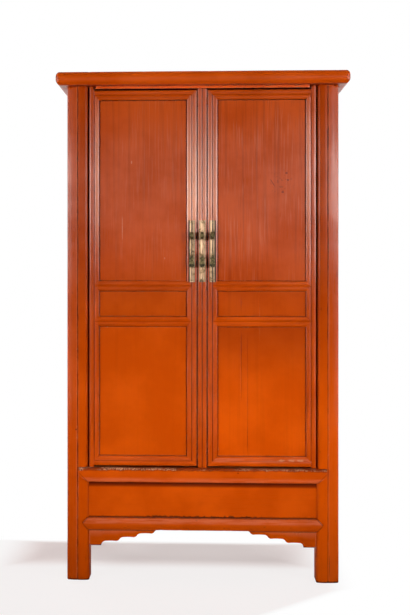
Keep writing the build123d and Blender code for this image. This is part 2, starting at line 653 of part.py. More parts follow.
def panel_groove(z0, z1):
    tongue_y = DOOR_FRONT + DOOR_GROOVE_AT
    return block(-STILE_OUT - GROOVE, -STILE_IN + GROOVE, tongue_y, tongue_y + DOOR_TONGUE_THICK,
                 z0 - GROOVE, z1 + GROOVE)


spaces = {"lower_panel": (DOOR_Z + MEMBER, WAIST_1), "waist_panel": (WAIST_1 + MEMBER, WAIST_2),
          "upper_panel": (MID_TOP, DOOR_TOP - MEMBER)}
grooves = [panel_groove(z0, z1) for z0, z1 in spaces.values()]
upper_z0, upper_z1 = spaces["upper_panel"]
lower_z0, lower_z1 = spaces["lower_panel"]
battens = {"lower_panel": [(lower_z0 + lower_z1) / 2], "waist_panel": [],
           "upper_panel": [upper_z0 + (upper_z1 - upper_z0) * share for share in BATTEN_PLACES]}
door_panels = {name: door_panel(z0, z1, battens[name]) for name, (z0, z1) in spaces.items()}


def pivot_pins():
    """The outer reed carries on above and below the door and ends in round pins."""
    shoulder = REED_SAG - PIVOT_BACK
    section = outline((-PIVOT_INSET, shoulder), (PIVOT_INSET, shoulder, REED_SAG),
                      (PIVOT_INSET, NECK_BACK), (-PIVOT_INSET, NECK_BACK, NECK_BACK))
    neck_top = TOP_Z - PIVOT_TOP_GAP
    neck_foot = SILL_TOP + PIVOT_FOOT_GAP
    necks = along_z(section, DOOR_TOP, neck_top) + along_z(section, neck_foot, DOOR_Z)
    pins = rod_z(PIVOT_R, 0, 0, neck_top, TOP_Z + PIVOT_TOP_LENGTH)
    pins += rod_z(PIVOT_R, 0, 0, SILL_TOP - PIVOT_BOTTOM_LENGTH, neck_foot)
    return Pos(-PIVOT_X, PIVOT_Y, 0) * (necks + pins)


pivot_stile = cut(reeded_upright(-DOOR_OUT, -STILE_OUT, DOOR_Z, DOOR_TOP), *end_layers, *waist_layers,
                  *end_bars, *waist_bars, *grooves) + pivot_pins()
lock_stile = cut(reeded_upright(-STILE_IN, -DOOR_IN, DOOR_Z, DOOR_TOP), *end_layers, *waist_layers,
                 *end_bars, *waist_bars, *grooves)
end_bars = [cut(bar, *grooves) for bar in end_bars]
waist_bars = [cut(bar, *grooves) for bar in waist_bars]

sockets = [
    rod_z(PIVOT_R + PIVOT_CLEARANCE, -PIVOT_X, PIVOT_Y, z0, z1)
    for z0, z1 in ((SILL_TOP - PIVOT_BOTTOM_LENGTH - PIVOT_END_GAP, SILL_TOP),
                   (TOP_Z, TOP_Z + PIVOT_TOP_LENGTH + PIVOT_END_GAP))]

# --- centre stile -------------------------------------------------------------------------
tongue_y = DOOR_FRONT + CENTRE_TONGUE_SET
centre_top = TOP_Z - CENTRE_LIFT - PIVOT_END_GAP


def centre_tongue(play, z0, z1):
    return block(-CENTRE_TONGUE_HALF - play, CENTRE_TONGUE_HALF + play, tongue_y - play,
                 tongue_y + CENTRE_TONGUE_THICK + play, z0, z1)


centre_stile = reeded_upright(-CENTRE_HALF, CENTRE_HALF, SILL_TOP, centre_top) + centre_tongue(
    0, SILL_TOP - CENTRE_TONGUE_DOWN, centre_top + CENTRE_TONGUE_UP)
centre_sockets = [
    centre_tongue(CENTRE_PLAY, SILL_TOP - CENTRE_TONGUE_DOWN - CENTRE_PLAY, SILL_TOP),
    centre_tongue(CENTRE_PLAY, TOP_Z, centre_top + CENTRE_TONGUE_UP + CENTRE_LIFT + PIVOT_END_GAP)]
sill_rail = cut(sill_rail, *both(sockets[0]), centre_sockets[0])

# --- brass on the doors and the centre stile ----------------------------------------------
STAPLE_Z = PLATE_BOTTOM + STAPLE_ABOVE
RING_Z = PLATE_BOTTOM + PULL_ABOVE
RING_Y = DOOR_FRONT - RING_REACH
REED_WIDTH = MEMBER / 2
NAIL_HEIGHTS = (PLATE_BOTTOM + NAIL_FROM_END, PLATE_BOTTOM + PLATE_HEIGHT - NAIL_FROM_END)


def plate(x, half, reed):
    """Thin plate hammered over the two reeds of a stile that is two reeds wide."""
    reed_r = (reed ** 2 / 4 + REED_SAG ** 2) / (2 * REED_SAG)
    centre_y = DOOR_FRONT + reed_r
    rounds = []
    for radius in (reed_r + PLATE_GAP + PLATE_THICK, reed_r + PLATE_GAP):
        rounds.append(Pos(x - reed / 2, centre_y) * Circle(radius)
                      + Pos(x + reed / 2, centre_y) * Circle(radius))
    section = rounds[0] - rounds[1]
    window = block(x - half, x + half, DOOR_FRONT - 5, DOOR_FRONT + REED_SAG + 1, PLATE_BOTTOM,
                   PLATE_BOTTOM + PLATE_HEIGHT)
    return along_z(section, PLATE_BOTTOM, PLATE_BOTTOM + PLATE_HEIGHT) & window


def lock_eye(x):
    """Almond-shaped eye for the lock bar; its shank is bent over behind the stile."""
    base = DOOR_FRONT - PLATE_GAP - PLATE_THICK - FIXING_GAP
    seen = outline((x, STAPLE_Z - STAPLE_RISE, STAPLE_HALF), (x, STAPLE_Z + STAPLE_RISE, STAPLE_HALF))
    reach = base - (DOOR_FRONT - STAPLE_REACH)
    profile = outline((base, STAPLE_Z - STAPLE_RISE + 1, reach), (base, STAPLE_Z + STAPLE_RISE - 1))
    x0, x1 = x - 2 * STAPLE_HALF, x + 2 * STAPLE_HALF
    eye = along_y(seen, DOOR_FRONT - STAPLE_REACH, base) & along_x(profile, x0, x1)
    hole = along_x(Pos(DOOR_FRONT - LOCK_HOLE_REACH, STAPLE_Z) * Circle(LOCK_HOLE_R), x0, x1)
    legs = block(x - CLENCH_HALF, x + CLENCH_HALF, DOOR_BACK, DOOR_BACK + CLENCH_THICK,
                 STAPLE_Z - CLENCH, STAPLE_Z + CLENCH)
    return (eye - hole) + rod_y(SHANK_R, x, STAPLE_Z, base, DOOR_BACK) + legs


def pull_eye(x):
    """Ring that carries a pull; its shank is bent over behind the stile."""
    ring = Pos(x, RING_Y, RING_Z) * Rot(0, 90, 0) * Torus(RING_R, RING_WIRE)
    start = RING_Y + RING_R + RING_WIRE / 2
    legs = block(x - CLENCH_HALF, x + CLENCH_HALF, DOOR_BACK, DOOR_BACK + CLENCH_THICK,
                 RING_Z - CLENCH, RING_Z + CLENCH)
    return ring + rod_y(RING_SHANK_R, x, RING_Z, start, DOOR_BACK) + legs


def nail(x, z):
    seat = DOOR_FRONT - NAIL_SEAT
    head = outline((0, 0), (NAIL_HEAD_R, 0), (0.7 * NAIL_HEAD_R, 0.7 * NAIL_HEAD, 0.3),
                   (0.25 * NAIL_HEAD_R, NAIL_HEAD, 0.1), (0, NAIL_HEAD))
    dome = Pos(x, seat, z) * Rot(90, 0, 0) * revolve(Plane.XZ * head, Axis.Z)
    return dome + rod_y(NAIL_R, x, z, seat, seat + NAIL_LENGTH)


def shank_holes(x):
    """Holes through plate and stile for both shanks, and for the nails."""
    holes = [rod_y(SHANK_R + HOLE_CLEARANCE, x, STAPLE_Z, DOOR_FRONT - CLEAR, DOOR_BACK),
             rod_y(RING_SHANK_R + HOLE_CLEARANCE, x, RING_Z, DOOR_FRONT - CLEAR, DOOR_BACK)]
    return holes + [rod_y(NAIL_R + HOLE_CLEARANCE, x, z, DOOR_FRONT - CLEAR, DOOR_FRONT + NAIL_LENGTH)
                    for z in NAIL_HEIGHTS]


def pull(x):
    """Flat baluster-shaped pull, hung by a hole near its top."""
    wire_in = RING_R - RING_WIRE
    wire_out = RING_R + RING_WIRE
    top = RING_Z - 1
    shoulder = RING_Z - PULL_SHOULDER_AT
    neck = RING_Z - PULL_NECK_AT
    belly = RING_Z - PULL_BELLY_AT
    foot = RING_Z - PULL_LENGTH
    right = [(x, foot, 1.5), (x + 0.75 * PULL_BELLY_HALF, foot + 5, 1.5), (x + PULL_BELLY_HALF, belly, 1.5),
             (x + PULL_NECK_HALF, neck, 1.2), (x + PULL_SHOULDER_HALF, shoulder - 1.2, -1.2),
             (x + PULL_SHOULDER_HALF, shoulder + 1.2, 0.9), (x + 4.2, RING_Z - wire_out - 0.5, -0.6),
             (x + 3.2, top, 0.6)]
    left = [(2 * x - right[-1][0], top)]
    for here, after in zip(right[-2::-1], right[:0:-1]):
        left.append((2 * x - here[0], here[1], after[2]))
    body = along_y(outline(*right, *left[:-1]), RING_Y - PULL_THICK / 2, RING_Y + PULL_THICK / 2)
    hole = block(x - 2.2, x + 2.2, RING_Y - PULL_THICK, RING_Y + PULL_THICK,
                 RING_Z - wire_out - PULL_CLEARANCE, RING_Z - wire_in + PULL_CLEARANCE)
    return body - hole


door_plate = cut(plate(-PLATE_X, PLATE_HALF, REED_WIDTH), *shank_holes(-PLATE_X))
door_fixings = [lock_eye(-PLATE_X), pull_eye(-PLATE_X), *(nail(-PLATE_X, z) for z in NAIL_HEIGHTS)]
lock_stile = cut(lock_stile, *shank_holes(-PLATE_X))
centre_plate = cut(plate(0, CENTRE_PLATE_HALF, CENTRE_HALF), *shank_holes(0))
centre_fixings = [lock_eye(0), pull_eye(0), *(nail(0, z) for z in NAIL_HEIGHTS)]
centre_stile = cut(centre_stile, *shank_holes(0))


# --- posts --------------------------------------------------------------------------------
panel_z = HEIGHT - TOP_PANEL_DROP - TOP_PANEL_THICK        # underside of the top's panel


def post_plan(rebate=0.0):
    """Plan of the left front post: soft lobes meet in a groove on the front and on the side."""
    face = POST_WIDTH - rebate
    back = [(POST_WIDTH, REBATE_DEPTH), (POST_WIDTH, POST_DEPTH)] if rebate else [(face, POST_DEPTH)]
    rebate_step = [(face, REBATE_DEPTH)] if rebate else []
    points = [
        (FRONT_GROOVE, POST_GROOVE_DEPTH), (FRONT_GROOVE + POST_GROOVE_HALF, LOBE_EDGE),
        (face - INNER_ROUND, INNER_FALL, FRONT_SWELL), (face, INNER_TURN, 2.2), *rebate_step, *back,
        (BACK_ROUND + INNER_FALL, POST_DEPTH), (INNER_FALL, POST_DEPTH - BACK_ROUND, 1.7),
        (LOBE_EDGE, SIDE_GROOVE + POST_GROOVE_HALF, SIDE_SWELL),
        (POST_GROOVE_DEPTH, SIDE_GROOVE), (LOBE_EDGE, SIDE_GROOVE - POST_GROOVE_HALF),
        (LOBE_FALL, LOBE_CORNER, LOBE_BOW), (LOBE_CORNER, LOBE_FALL, 0.7),
        (FRONT_GROOVE - POST_GROOVE_HALF, LOBE_EDGE, LOBE_BOW)]
    return Pos(-HALF, FRONT) * outline(*points)


def top_tenons(y0, side_y0):
    """Two tenons on a post's head: one for the front or rear rail of the top, one for the side rail."""
    x_in = -POST_IN - TOP_TENON_IN
    x_out = -HALF + TOP_TENON_OUT
    return [block(x_in - TOP_TENON_WIDTH, x_in, y0, y0 + TOP_TENON_THICK, TOP_Z, panel_z),
            block(x_out, x_out + TOP_TENON_THICK, side_y0, side_y0 + TOP_SIDE_TENON_THICK, TOP_Z, panel_z)]


rebate_z = SILL_TOP - REBATE_FOOT
front_post = along_z(post_plan(), 0, rebate_z) + along_z(post_plan(REBATE), rebate_z, TOP_Z)
rear_post = mirror(along_z(post_plan(), 0, TOP_Z), about=Plane.XZ.offset(-MIDDLE_Y))
side_tenon_end = TOP_SIDE_TENON_SET + TOP_SIDE_TENON_THICK
for tenon in top_tenons(FRONT + TOP_TENON_SET, POST_BACK - side_tenon_end):
    front_post += tenon
for tenon in top_tenons(BACK - TOP_TENON_SET - TOP_TENON_THICK, REAR_POST + TOP_SIDE_TENON_SET):
    rear_post += tenon
front_post = cut(front_post, sill_rail, lower_rail, *side_rails, storage_front_panel, *side_panels,
                 *drawer_frame)
rear_post = cut(rear_post, *side_rails, *rear_rails, *side_panels, *rear_panels, *drawer_frame)

# --- top ----------------------------------------------------------------------------------
top_in_x = TOP_HALF - TOP_RAIL_WIDTH
top_in_front = TOP_FRONT + TOP_RAIL_WIDTH
top_in_back = TOP_BACK - TOP_RAIL_WIDTH
front_mitre = outline((-TOP_HALF, TOP_FRONT), (TOP_HALF, TOP_FRONT), (top_in_x, top_in_front),
                      (-top_in_x, top_in_front))
rear_mitre = outline((TOP_HALF, TOP_BACK), (-TOP_HALF, TOP_BACK), (-top_in_x, top_in_back),
                     (top_in_x, top_in_back))
side_mitre = outline((-TOP_HALF, TOP_FRONT), (-top_in_x, top_in_front), (-top_in_x, top_in_back),
                     (-TOP_HALF, TOP_BACK))
corner_bow = TOP_CORNER * (1 - 0.5 ** 0.5)
top_plan = outline((-TOP_HALF + TOP_CORNER, TOP_FRONT, corner_bow), (TOP_HALF - TOP_CORNER, TOP_FRONT),
                   (TOP_HALF, TOP_FRONT + TOP_CORNER, corner_bow), (TOP_HALF, TOP_BACK),
                   (-TOP_HALF, TOP_BACK), (-TOP_HALF, TOP_FRONT + TOP_CORNER))
top_block = along_z(top_plan, TOP_Z, HEIGHT)


def nosed(outer, inner):
    """Section of a top rail whose outer edge swells in a round nose."""
    return outline((outer + TOP_NOSE, TOP_Z, TOP_NOSE), (inner, TOP_Z), (inner, HEIGHT),
                   (outer + TOP_NOSE, HEIGHT))


def top_rail(section, place, length, mitre):
    return place(section, -length, length) & along_z(mitre, TOP_Z, HEIGHT) & top_block


def mitre_key(y0):
    """Tenon across a mitre of the top, at the left."""
    x0 = -HALF - KEY_OUT
    z0 = panel_z + TOP_PANEL_THICK / 2 - KEY_THICK
    return block(x0, x0 + KEY_LENGTH, y0, y0 + KEY_WIDTH, z0, z0 + KEY_THICK)


top_groove = block(-top_in_x - GROOVE, top_in_x + GROOVE, top_in_front - GROOVE, top_in_back + GROOVE,
                   panel_z, panel_z + TOP_TONGUE_THICK)
top_panel = block(-top_in_x + BOARD_PLAY, top_in_x - BOARD_PLAY, top_in_front + BOARD_PLAY,
                  top_in_back - BOARD_PLAY, panel_z, HEIGHT - TOP_PANEL_DROP) + block(
    -top_in_x - GROOVE + TOP_PLAY, top_in_x + GROOVE - TOP_PLAY, top_in_front - GROOVE + TOP_PLAY,
    top_in_back + GROOVE - TOP_PLAY, panel_z, panel_z + TOP_TONGUE_THICK)
top_battens = both(block(-BATTEN_X - BATTEN_WIDTH / 2, -BATTEN_X + BATTEN_WIDTH / 2,
                         top_in_front - STUB, top_in_back + STUB, panel_z - BATTEN_THICK, panel_z))

strip_x = DOOR_OUT - HEAD_STRIP_END
strip_y = DOOR_FRONT - HEAD_STRIP_PROUD
head_strip = block(-strip_x, strip_x, strip_y, strip_y + HEAD_STRIP_THICK,
                   TOP_Z - HEAD_STRIP_HEIGHT, TOP_Z)
head_strip += block(-strip_x, strip_x, strip_y + HEAD_TONGUE_SET,
                    strip_y + HEAD_TONGUE_SET + HEAD_TONGUE_THICK, TOP_Z, TOP_Z + HEAD_TONGUE)

posts = both(front_post) + both(rear_post)
keys = both(mitre_key(TOP_FRONT + KEY_FROM_FRONT))
rear_keys = both(mitre_key(TOP_BACK - KEY_FROM_FRONT - KEY_WIDTH))
top_front_rail = cut(top_rail(nosed(TOP_FRONT, top_in_front), along_x, TOP_HALF, front_mitre)
                     + keys[0] + keys[1], top_groove, *top_battens, head_strip, *posts,
                     *both(sockets[1]), centre_sockets[1])
flat_section = outline((top_in_back, TOP_Z), (TOP_BACK, TOP_Z), (TOP_BACK, HEIGHT),
                       (top_in_back, HEIGHT))
top_rear_rail = cut(top_rail(flat_section, along_x, TOP_HALF, rear_mitre) + rear_keys[0]
                    + rear_keys[1], top_groove, *top_battens, *posts, *rear_panels, *muntins)
top_side_rail = cut(top_rail(nosed(-TOP_HALF, -top_in_x), along_y, TOP_BACK, side_mitre), keys[0],
                    rear_keys[0], top_groove, *posts, *side_panels)

# --- every sub-part by name ---------------------------------------------------------------
keep("post_front_left", front_post)
keep("post_front_right", other(front_post))
keep("post_rear_left", rear_post)
keep("post_rear_right", other(rear_post))
keep("top_front_rail", top_front_rail)
keep("top_rear_rail", top_rear_rail)
keep("top_left_rail", top_side_rail)
keep("top_right_rail", other(top_side_rail))
keep("top_panel", top_panel)
keep("top_battens", *top_battens)
keep("head_strip", head_strip)
keep("sill_rail", sill_rail)
keep("lower_rail", lower_rail)
keep("storage_front_panel", storage_front_panel)
keep("spandrel_left", spandrel)
keep("spandrel_right", other(spandrel))
keep("rear_frame", *rear_rails, *muntins)
keep("rear_panels", *rear_panels)
keep("storage_floor", storage_floor)
keep("floor_bearer", floor_bearer)
keep("drawer_frame", *drawer_frame)
keep("shelf_board", shelf_board)
keep("centre_stile", centre_stile)
keep("centre_plate", centre_plate)
keep("centre_fixings", *centre_fixings)
keep("centre_pull", pull(0))

sided = {
    "side_rails": side_rails,
    "side_panels": side_panels,
    "side_apron": [side_apron],
    "drawer_front": [drawer_front],
    "drawer_box": [*drawer_sides, drawer_end, drawer_bottom],
    "drawer_knob": [drawer_knob],
    "floor_board": [floor_board],
    "pivot_stile": [pivot_stile],
    "lock_stile": [lock_stile],
    "door_end_rails": end_bars,
    "waist_rails": waist_bars,
    "upper_panel": door_panels["upper_panel"],
    "waist_panel": door_panels["waist_panel"],
    "lower_panel": door_panels["lower_panel"],
    "plate": [door_plate],
    "fixings": door_fixings,
    "pull": [pull(-PLATE_X)],
}
for name, pieces in sided.items():
    keep("left_" + name, *pieces)
    keep("right_" + name, *(other(piece) for piece in pieces))

os.makedirs("parts", exist_ok=True)
for name, pieces in nodes.items():
    solids = [solid for piece in pieces for solid in piece.solids()]
    export_step(Compound(solids) if len(solids) > 1 else solids[0], f"parts/{name}.step")
print(len(nodes), "sub-parts")
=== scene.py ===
# %% [markdown]
# # A lacquered wedding cabinet
# The cabinet is a tall frame-and-panel piece from northern China: four shaped posts, a mitred top,
# two doors with reeded frames, and a storage space below them. All of it is covered with orange-red
# lacquer that has gone soft at the edges and dark in the grooves. The joinery comes ready-made in
# the frame; this script gives each piece the surface that an old hand-made one has.

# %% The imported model
import json
import math

import bmesh
import bpy
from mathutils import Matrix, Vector, noise


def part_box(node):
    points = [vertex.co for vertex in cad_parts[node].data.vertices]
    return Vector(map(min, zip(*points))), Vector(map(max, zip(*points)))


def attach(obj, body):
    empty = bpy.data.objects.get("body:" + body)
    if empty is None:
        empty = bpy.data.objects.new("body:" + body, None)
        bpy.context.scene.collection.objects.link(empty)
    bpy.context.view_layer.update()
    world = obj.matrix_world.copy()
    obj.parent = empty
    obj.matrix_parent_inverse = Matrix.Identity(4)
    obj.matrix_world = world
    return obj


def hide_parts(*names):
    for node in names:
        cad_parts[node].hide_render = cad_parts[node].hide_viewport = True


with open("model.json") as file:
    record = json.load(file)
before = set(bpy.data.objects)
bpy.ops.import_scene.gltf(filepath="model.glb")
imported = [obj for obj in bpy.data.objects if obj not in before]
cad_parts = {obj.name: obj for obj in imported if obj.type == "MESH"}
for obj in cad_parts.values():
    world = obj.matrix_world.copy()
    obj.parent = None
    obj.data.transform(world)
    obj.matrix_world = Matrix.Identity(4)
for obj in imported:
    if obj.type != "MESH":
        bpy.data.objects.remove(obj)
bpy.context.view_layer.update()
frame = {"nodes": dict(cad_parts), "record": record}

MM = 0.001
record = frame["record"]
BODY = {node: body for body, nodes in record["behaviour"]["bodies"].items() for node in nodes}

# %% [markdown]
# ## Camera
# The cabinet is seen from the front, from chest height, with upright lines kept upright. A tilted
# camera would make them converge, so this one stays level and its lens is shifted down instead, as
# an architectural photographer does. It isn't quite square to the front: it is turned a little to
# the left, which makes the right side of the cabinet slightly taller than the left one.

# %% A level camera, turned a little
IMAGE_HIGH = 615                # pixels, 410 wide
SENSOR_HIGH = 36                # mm
FOCAL_PIXELS = 985
EYE_HEIGHT = 1183.1 * MM
EYE_SIDE = -9.6 * MM
DISTANCE = 3648.2 * MM          # from the front of the posts
TURN = 2.36                     # degrees to the left
AXIS_LEFT = 46.0                # the optical axis lies this many pixels left of the middle
AXIS_UP = 45.7                  # and this many above it


def new_object(name, data):
    """An object that shows the data, put into the scene."""
    made = bpy.data.objects.new(name, data)
    bpy.context.scene.collection.objects.link(made)
    return made


camera_data = bpy.data.cameras.new("camera")
camera = new_object("camera", camera_data)
POST_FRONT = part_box("post_front_left")[0].y
camera.location = (EYE_SIDE, POST_FRONT - DISTANCE, EYE_HEIGHT)
camera.rotation_euler = (math.radians(90), 0, math.radians(TURN))
camera_data.sensor_fit = "VERTICAL"
camera_data.sensor_height = SENSOR_HIGH
camera_data.lens = SENSOR_HIGH * FOCAL_PIXELS / IMAGE_HIGH
camera_data.shift_x = AXIS_LEFT / IMAGE_HIGH
camera_data.shift_y = -AXIS_UP / IMAGE_HIGH
bpy.context.scene.camera = camera
print("lens:", round(camera_data.lens, 1), "mm, eye height:", round(EYE_HEIGHT, 3), "m")

# %% [markdown]
# ## Node trees in few words
# Every finish below is a small graph of noises, ramps and mixes. Writing each link by hand hides
# the idea of a finish under bookkeeping, so one function adds a node and wires it in a single call,
# and a short class gives a finish the few kinds of node that it needs over and over.


# %% One node, wired
def add_node(tree, kind, inputs=None, **settings):
    """A new node: a value that is a socket gets linked, any other is set on the input."""
    node = tree.nodes.new(kind)
    for key, value in settings.items():
        setattr(node, key, value)
    for key, value in (inputs or {}).items():
        if isinstance(value, bpy.types.NodeSocket):
            tree.links.new(value, node.inputs[key])
        else:
            node.inputs[key].default_value = value
    return node


# %% A notebook for materials
class Finish:
    """A material's node tree, built with one short call for each node."""

    def __init__(self, name):
        self.material = bpy.data.materials.new(name)
        self.material.use_nodes = True
        self.tree = self.material.node_tree
        self.tree.nodes.clear()
        self.place = self.add("ShaderNodeTexCoord").outputs["Object"]
        self.colour = None      # the paint so far
        self.bare = None        # what shows where it has worn off

    def add(self, kind, inputs=None, **settings):
        return add_node(self.tree, kind, inputs, **settings)

    def stretch(self, scale):
        return self.add("ShaderNodeMapping", {"Vector": self.place, "Scale": scale}).outputs[0]

    def noise(self, where, scale, detail=2, rough=0.5):
        return self.add("ShaderNodeTexNoise", {"Vector": where, "Scale": scale, "Detail": detail,
                                               "Roughness": rough}).outputs["Fac"]

    def ramp(self, value, low, high, bottom=0.0, top=1.0):
        """Smooth step: bottom where the value is under low, top where it is over high."""
        return self.add("ShaderNodeMapRange", {"Value": value, "From Min": low, "From Max": high,
                                               "To Min": bottom, "To Max": top},
                        interpolation_type="SMOOTHSTEP").outputs[0]

    def rise(self, value, low, high, bottom=0.0, top=1.0):
        """The same step for a coordinate, with low and high in millimetres."""
        return self.ramp(value, low * MM, high * MM, bottom, top)

    def fall(self, value, low, high, top=1.0):
        return self.rise(value, low, high, top, 0.0)

    def band(self, value, start, full, fade, end):
        """1 from full to fade, and nothing before start or after end, all in millimetres."""
        return self.times(self.rise(value, start, full), self.fall(value, fade, end))

    def math(self, how, first, second=0.0):
        return self.add("ShaderNodeMath", {0: first, 1: second}, operation=how).outputs[0]

    def times(self, first, second):
        return self.math("MULTIPLY", first, second)

    def plus(self, first, second):
        return self.math("ADD", first, second)

    def minus(self, first, second):
        return self.math("SUBTRACT", first, second)

    def most(self, first, second):
        return self.math("MAXIMUM", first, second)

    def off(self, value, place):
        """How far a coordinate lies from a place in millimetres."""
        return self.math("ABSOLUTE", self.minus(value, place * MM))

    def mix(self, share, first, second):
        return self.add("ShaderNodeMix", {"Factor": share, "A": first, "B": second},
                        data_type="RGBA").outputs["Result"]

    def lay(self, shade, share, *more):
        """Lay a shade over the colour so far; its share is the product of all the given ones."""
        for factor in more:
            share = self.times(share, factor)
        self.colour = self.mix(share, self.colour, shade)

    def spot(self, centre, size, turn=0.0, edge=0.3, wobble=0.0, grain=60):
        """1 inside an ellipsoid (centre and half sizes in mm, turned about Y), with a ragged rim."""
        where = self.add("ShaderNodeMapping", {"Vector": self.place,
                                               "Location": [c * MM for c in centre],
                                               "Scale": [c * MM for c in size],
                                               "Rotation": (0, math.radians(turn), 0)},
                         vector_type="TEXTURE").outputs[0]
        reach = self.add("ShaderNodeVectorMath", {0: where}, operation="LENGTH").outputs["Value"]
        if wobble:
            reach = self.plus(reach, self.times(self.noise(self.place, grain, 4, 0.6), wobble))
            reach = self.minus(reach, wobble / 2)
        return self.ramp(reach, 1.0 - edge, 1.0, 1.0, 0.0)

    def dab(self, shade, share, centre, size, turn=0.0, edge=0.6, wobble=0.8, grain=90):
        """Lay one spot of a shade over the colour so far."""
        self.lay(shade, self.spot(centre, size, turn, edge, wobble, grain), share)

    def axes(self):
        """The three object coordinates, each as a value."""
        return self.add("ShaderNodeSeparateXYZ", {0: self.place}).outputs[:]

    def front(self):
        """What a mark on the front needs: x, its distance from the middle, and the height."""
        x, _, z = self.axes()
        return x, self.math("ABSOLUTE", x), z

    def attribute(self, name):
        return self.add("ShaderNodeAttribute", attribute_name=name).outputs["Fac"]

    def bump(self, height, depth, under=None):
        inputs = {"Height": height, "Distance": depth, "Strength": 1.0}
        if under is not None:
            inputs["Normal"] = under
        return self.add("ShaderNodeBump", inputs).outputs[0]

    def surface(self, roughness, normal, **constants):
        inputs = {"Base Color": self.colour, "Roughness": roughness, "Normal": normal}
        inputs.update({key.replace("_", " "): value for key, value in constants.items()})
        shader = self.add("ShaderNodeBsdfPrincipled", inputs)
        self.add("ShaderNodeOutputMaterial", {"Surface": shader.outputs[0]})
        return self.material


# %% Colours as a painter reads them
def paint(red, green, blue):
    """Linear colour from a swatch's 0-255 values."""
    channels = [value / 255 for value in (red, green, blue)]
    return [c / 12.92 if c < 0.04045 else ((c + 0.055) / 1.055) ** 2.4 for c in channels] + [1.0]


LACQUER = paint(209, 80, 0)
LACQUER_DEEP = paint(193, 70, 0)
LACQUER_DARK = paint(124, 36, 0)
LACQUER_PALE = paint(214, 116, 80)
# GRIME_AND_SHADE is dirt in the grooves, and painted shade under the sill, on the nosing's ends and
# beside the eyes and pulls.
GRIME_AND_SHADE = paint(50, 11, 4)
WORN_PALE = paint(214, 150, 112)
# A rosy pale for painted light only: highlights on the reeds, and light thrown up under the top's
# overhang.
PAINTED_ROSE_LIGHT = paint(255, 166, 126)
WORN_BROWN = paint(92, 40, 18)
print("lacquer:", [round(c, 3) for c in LACQUER])

# %% [markdown]
# ## The lacquer
# Layers of coloured lacquer were brushed over a thin ground, so the wood still shows as faint
# streaks along the grain. Age has rubbed the arrises down to the pale ground and the brown wood,
# and packed dirt into every hollow. A picture of such a surface would tie it to one size, so the
# streaks, clouds and pits are noises, stretched along the grain. Where a piece is worn or dirty
# comes from two attributes that its mesh carries: `arris` on the rounded edges and `hollow` in
# the grooves. Gloss isn't even either: dirt is matt, and hands polish what they reach, so the shine
# grows from the foot up to the chest and fades again towards the top.

# %% The lacquer as a function
ALONG = {"upright": (1, 1, 0.025), "across": (0.025, 1, 1), "deep": (1, 0.025, 1)}
CLEAN_SHINE = 0.36              # specular level on the open faces
DIRTY_SHINE = 0.02              # and in the grooves


def toned(colour, tone):
    return [min(1.0, channel * tone) for channel in colour[:3]] + [1.0]


def lacquer(name, grain, streaks=1.0, tone=1.0, rub=0.75, gloss=1.0, marks=None, dull=None):
    """Lacquer on wood whose fibres run along the grain; marks adds damage of one piece's own."""
    f = Finish(name)
    fibres = f.stretch(ALONG[grain])
    fine = f.noise(fibres, 420, 3, 0.6)
    broad = f.noise(fibres, 75, 1, 0.5)
    cloud = f.noise(f.place, 5.5, 4, 0.55)
    blotch = f.noise(f.place, 46, 5, 0.62)
    speck = f.noise(f.place, 260, 2, 0.5)

    f.colour = f.mix(f.ramp(cloud, 0.35, 0.68), toned(LACQUER_DEEP, tone), toned(LACQUER, tone))
    f.lay(LACQUER_DARK, f.ramp(broad, 0.5, 0.8), 0.18 * streaks)
    f.lay(LACQUER_DARK, f.ramp(fine, 0.52, 0.8), 0.22 * streaks)
    hollow = f.attribute("hollow")
    f.lay(LACQUER_DARK, f.ramp(hollow, 0.1, 0.9), 0.5)
    f.lay(GRIME_AND_SHADE, f.ramp(hollow, 0.45, 1.0), f.ramp(blotch, 0.40, 0.62, 0.58, 0.9))
    arris = f.attribute("arris")
    # Every rounded edge is a little paler: worn lacquer, and a painted highlight along the arris.
    f.lay(LACQUER_PALE, f.ramp(arris, 0.4, 1.0), 0.4)
    f.bare = f.mix(f.ramp(speck, 0.42, 0.58), WORN_BROWN, WORN_PALE)
    f.lay(f.bare, f.ramp(arris, 0.5, 0.95), f.ramp(blotch, 0.54, 0.64), rub)
    if marks:
        marks(f)

    smear = f.plus(f.times(cloud, 0.45), f.times(fine, 0.55))
    polish = 0.05 * (gloss - 1)
    rough = f.ramp(smear, 0.34, 0.62, 0.25 - polish, 0.38 - polish)
    roughness = f.plus(rough, f.times(hollow, 0.4))
    shine = f.ramp(hollow, 0.1, 0.6, CLEAN_SHINE * gloss, DIRTY_SHINE)
    z = f.axes()[2]
    shine = f.times(shine, f.rise(z, 950, 1380, 0.25, 1.0))
    shine = f.times(shine, f.rise(z, 1520, 1780, 1.0, 0.38))
    shine = f.times(shine, f.ramp(cloud, 0.38, 0.62, 0.75, 1.25))
    if dull:
        shine = f.times(shine, dull(f))
    normal = f.bump(f.noise(f.place, 11, 2, 0.5), 1.0 * MM)
    normal = f.bump(broad, 0.25 * streaks * MM, normal)
    normal = f.bump(fine, 0.07 * streaks * MM, normal)
    return f.surface(roughness, normal, Specular_IOR_Level=shine)


RED = {grain: lacquer("lacquer_" + grain, grain) for grain in ALONG}
print("plain lacquers:", list(RED))

# %% [markdown]
# ## Damage and painted light that belong to one place
# A noise can spread wear evenly, but what makes an old piece recognisable is damage in one place:
# the sill's upper edge that everybody stepped on, a knot that shows through, one long scratch.
# Light and shade are painted in the same way: the shadow under the sill, highlights on the reeds
# and rails, the glow under the overhang, and sides lighter or darker as if lit from the right. Each
# of these is a spot or a band in the object's own coordinates, laid over the lacquer before it
# reaches the shader, so it needs no image. Most functions below lay the damage and painted light of
# one kind of piece over its finish; two tell where it shines.

# %% Marks on the posts
POST_GROOVE = 462.5             # where it lies left and right of the middle, mm
LOWER_RAIL = 211.5              # height of its middle, mm


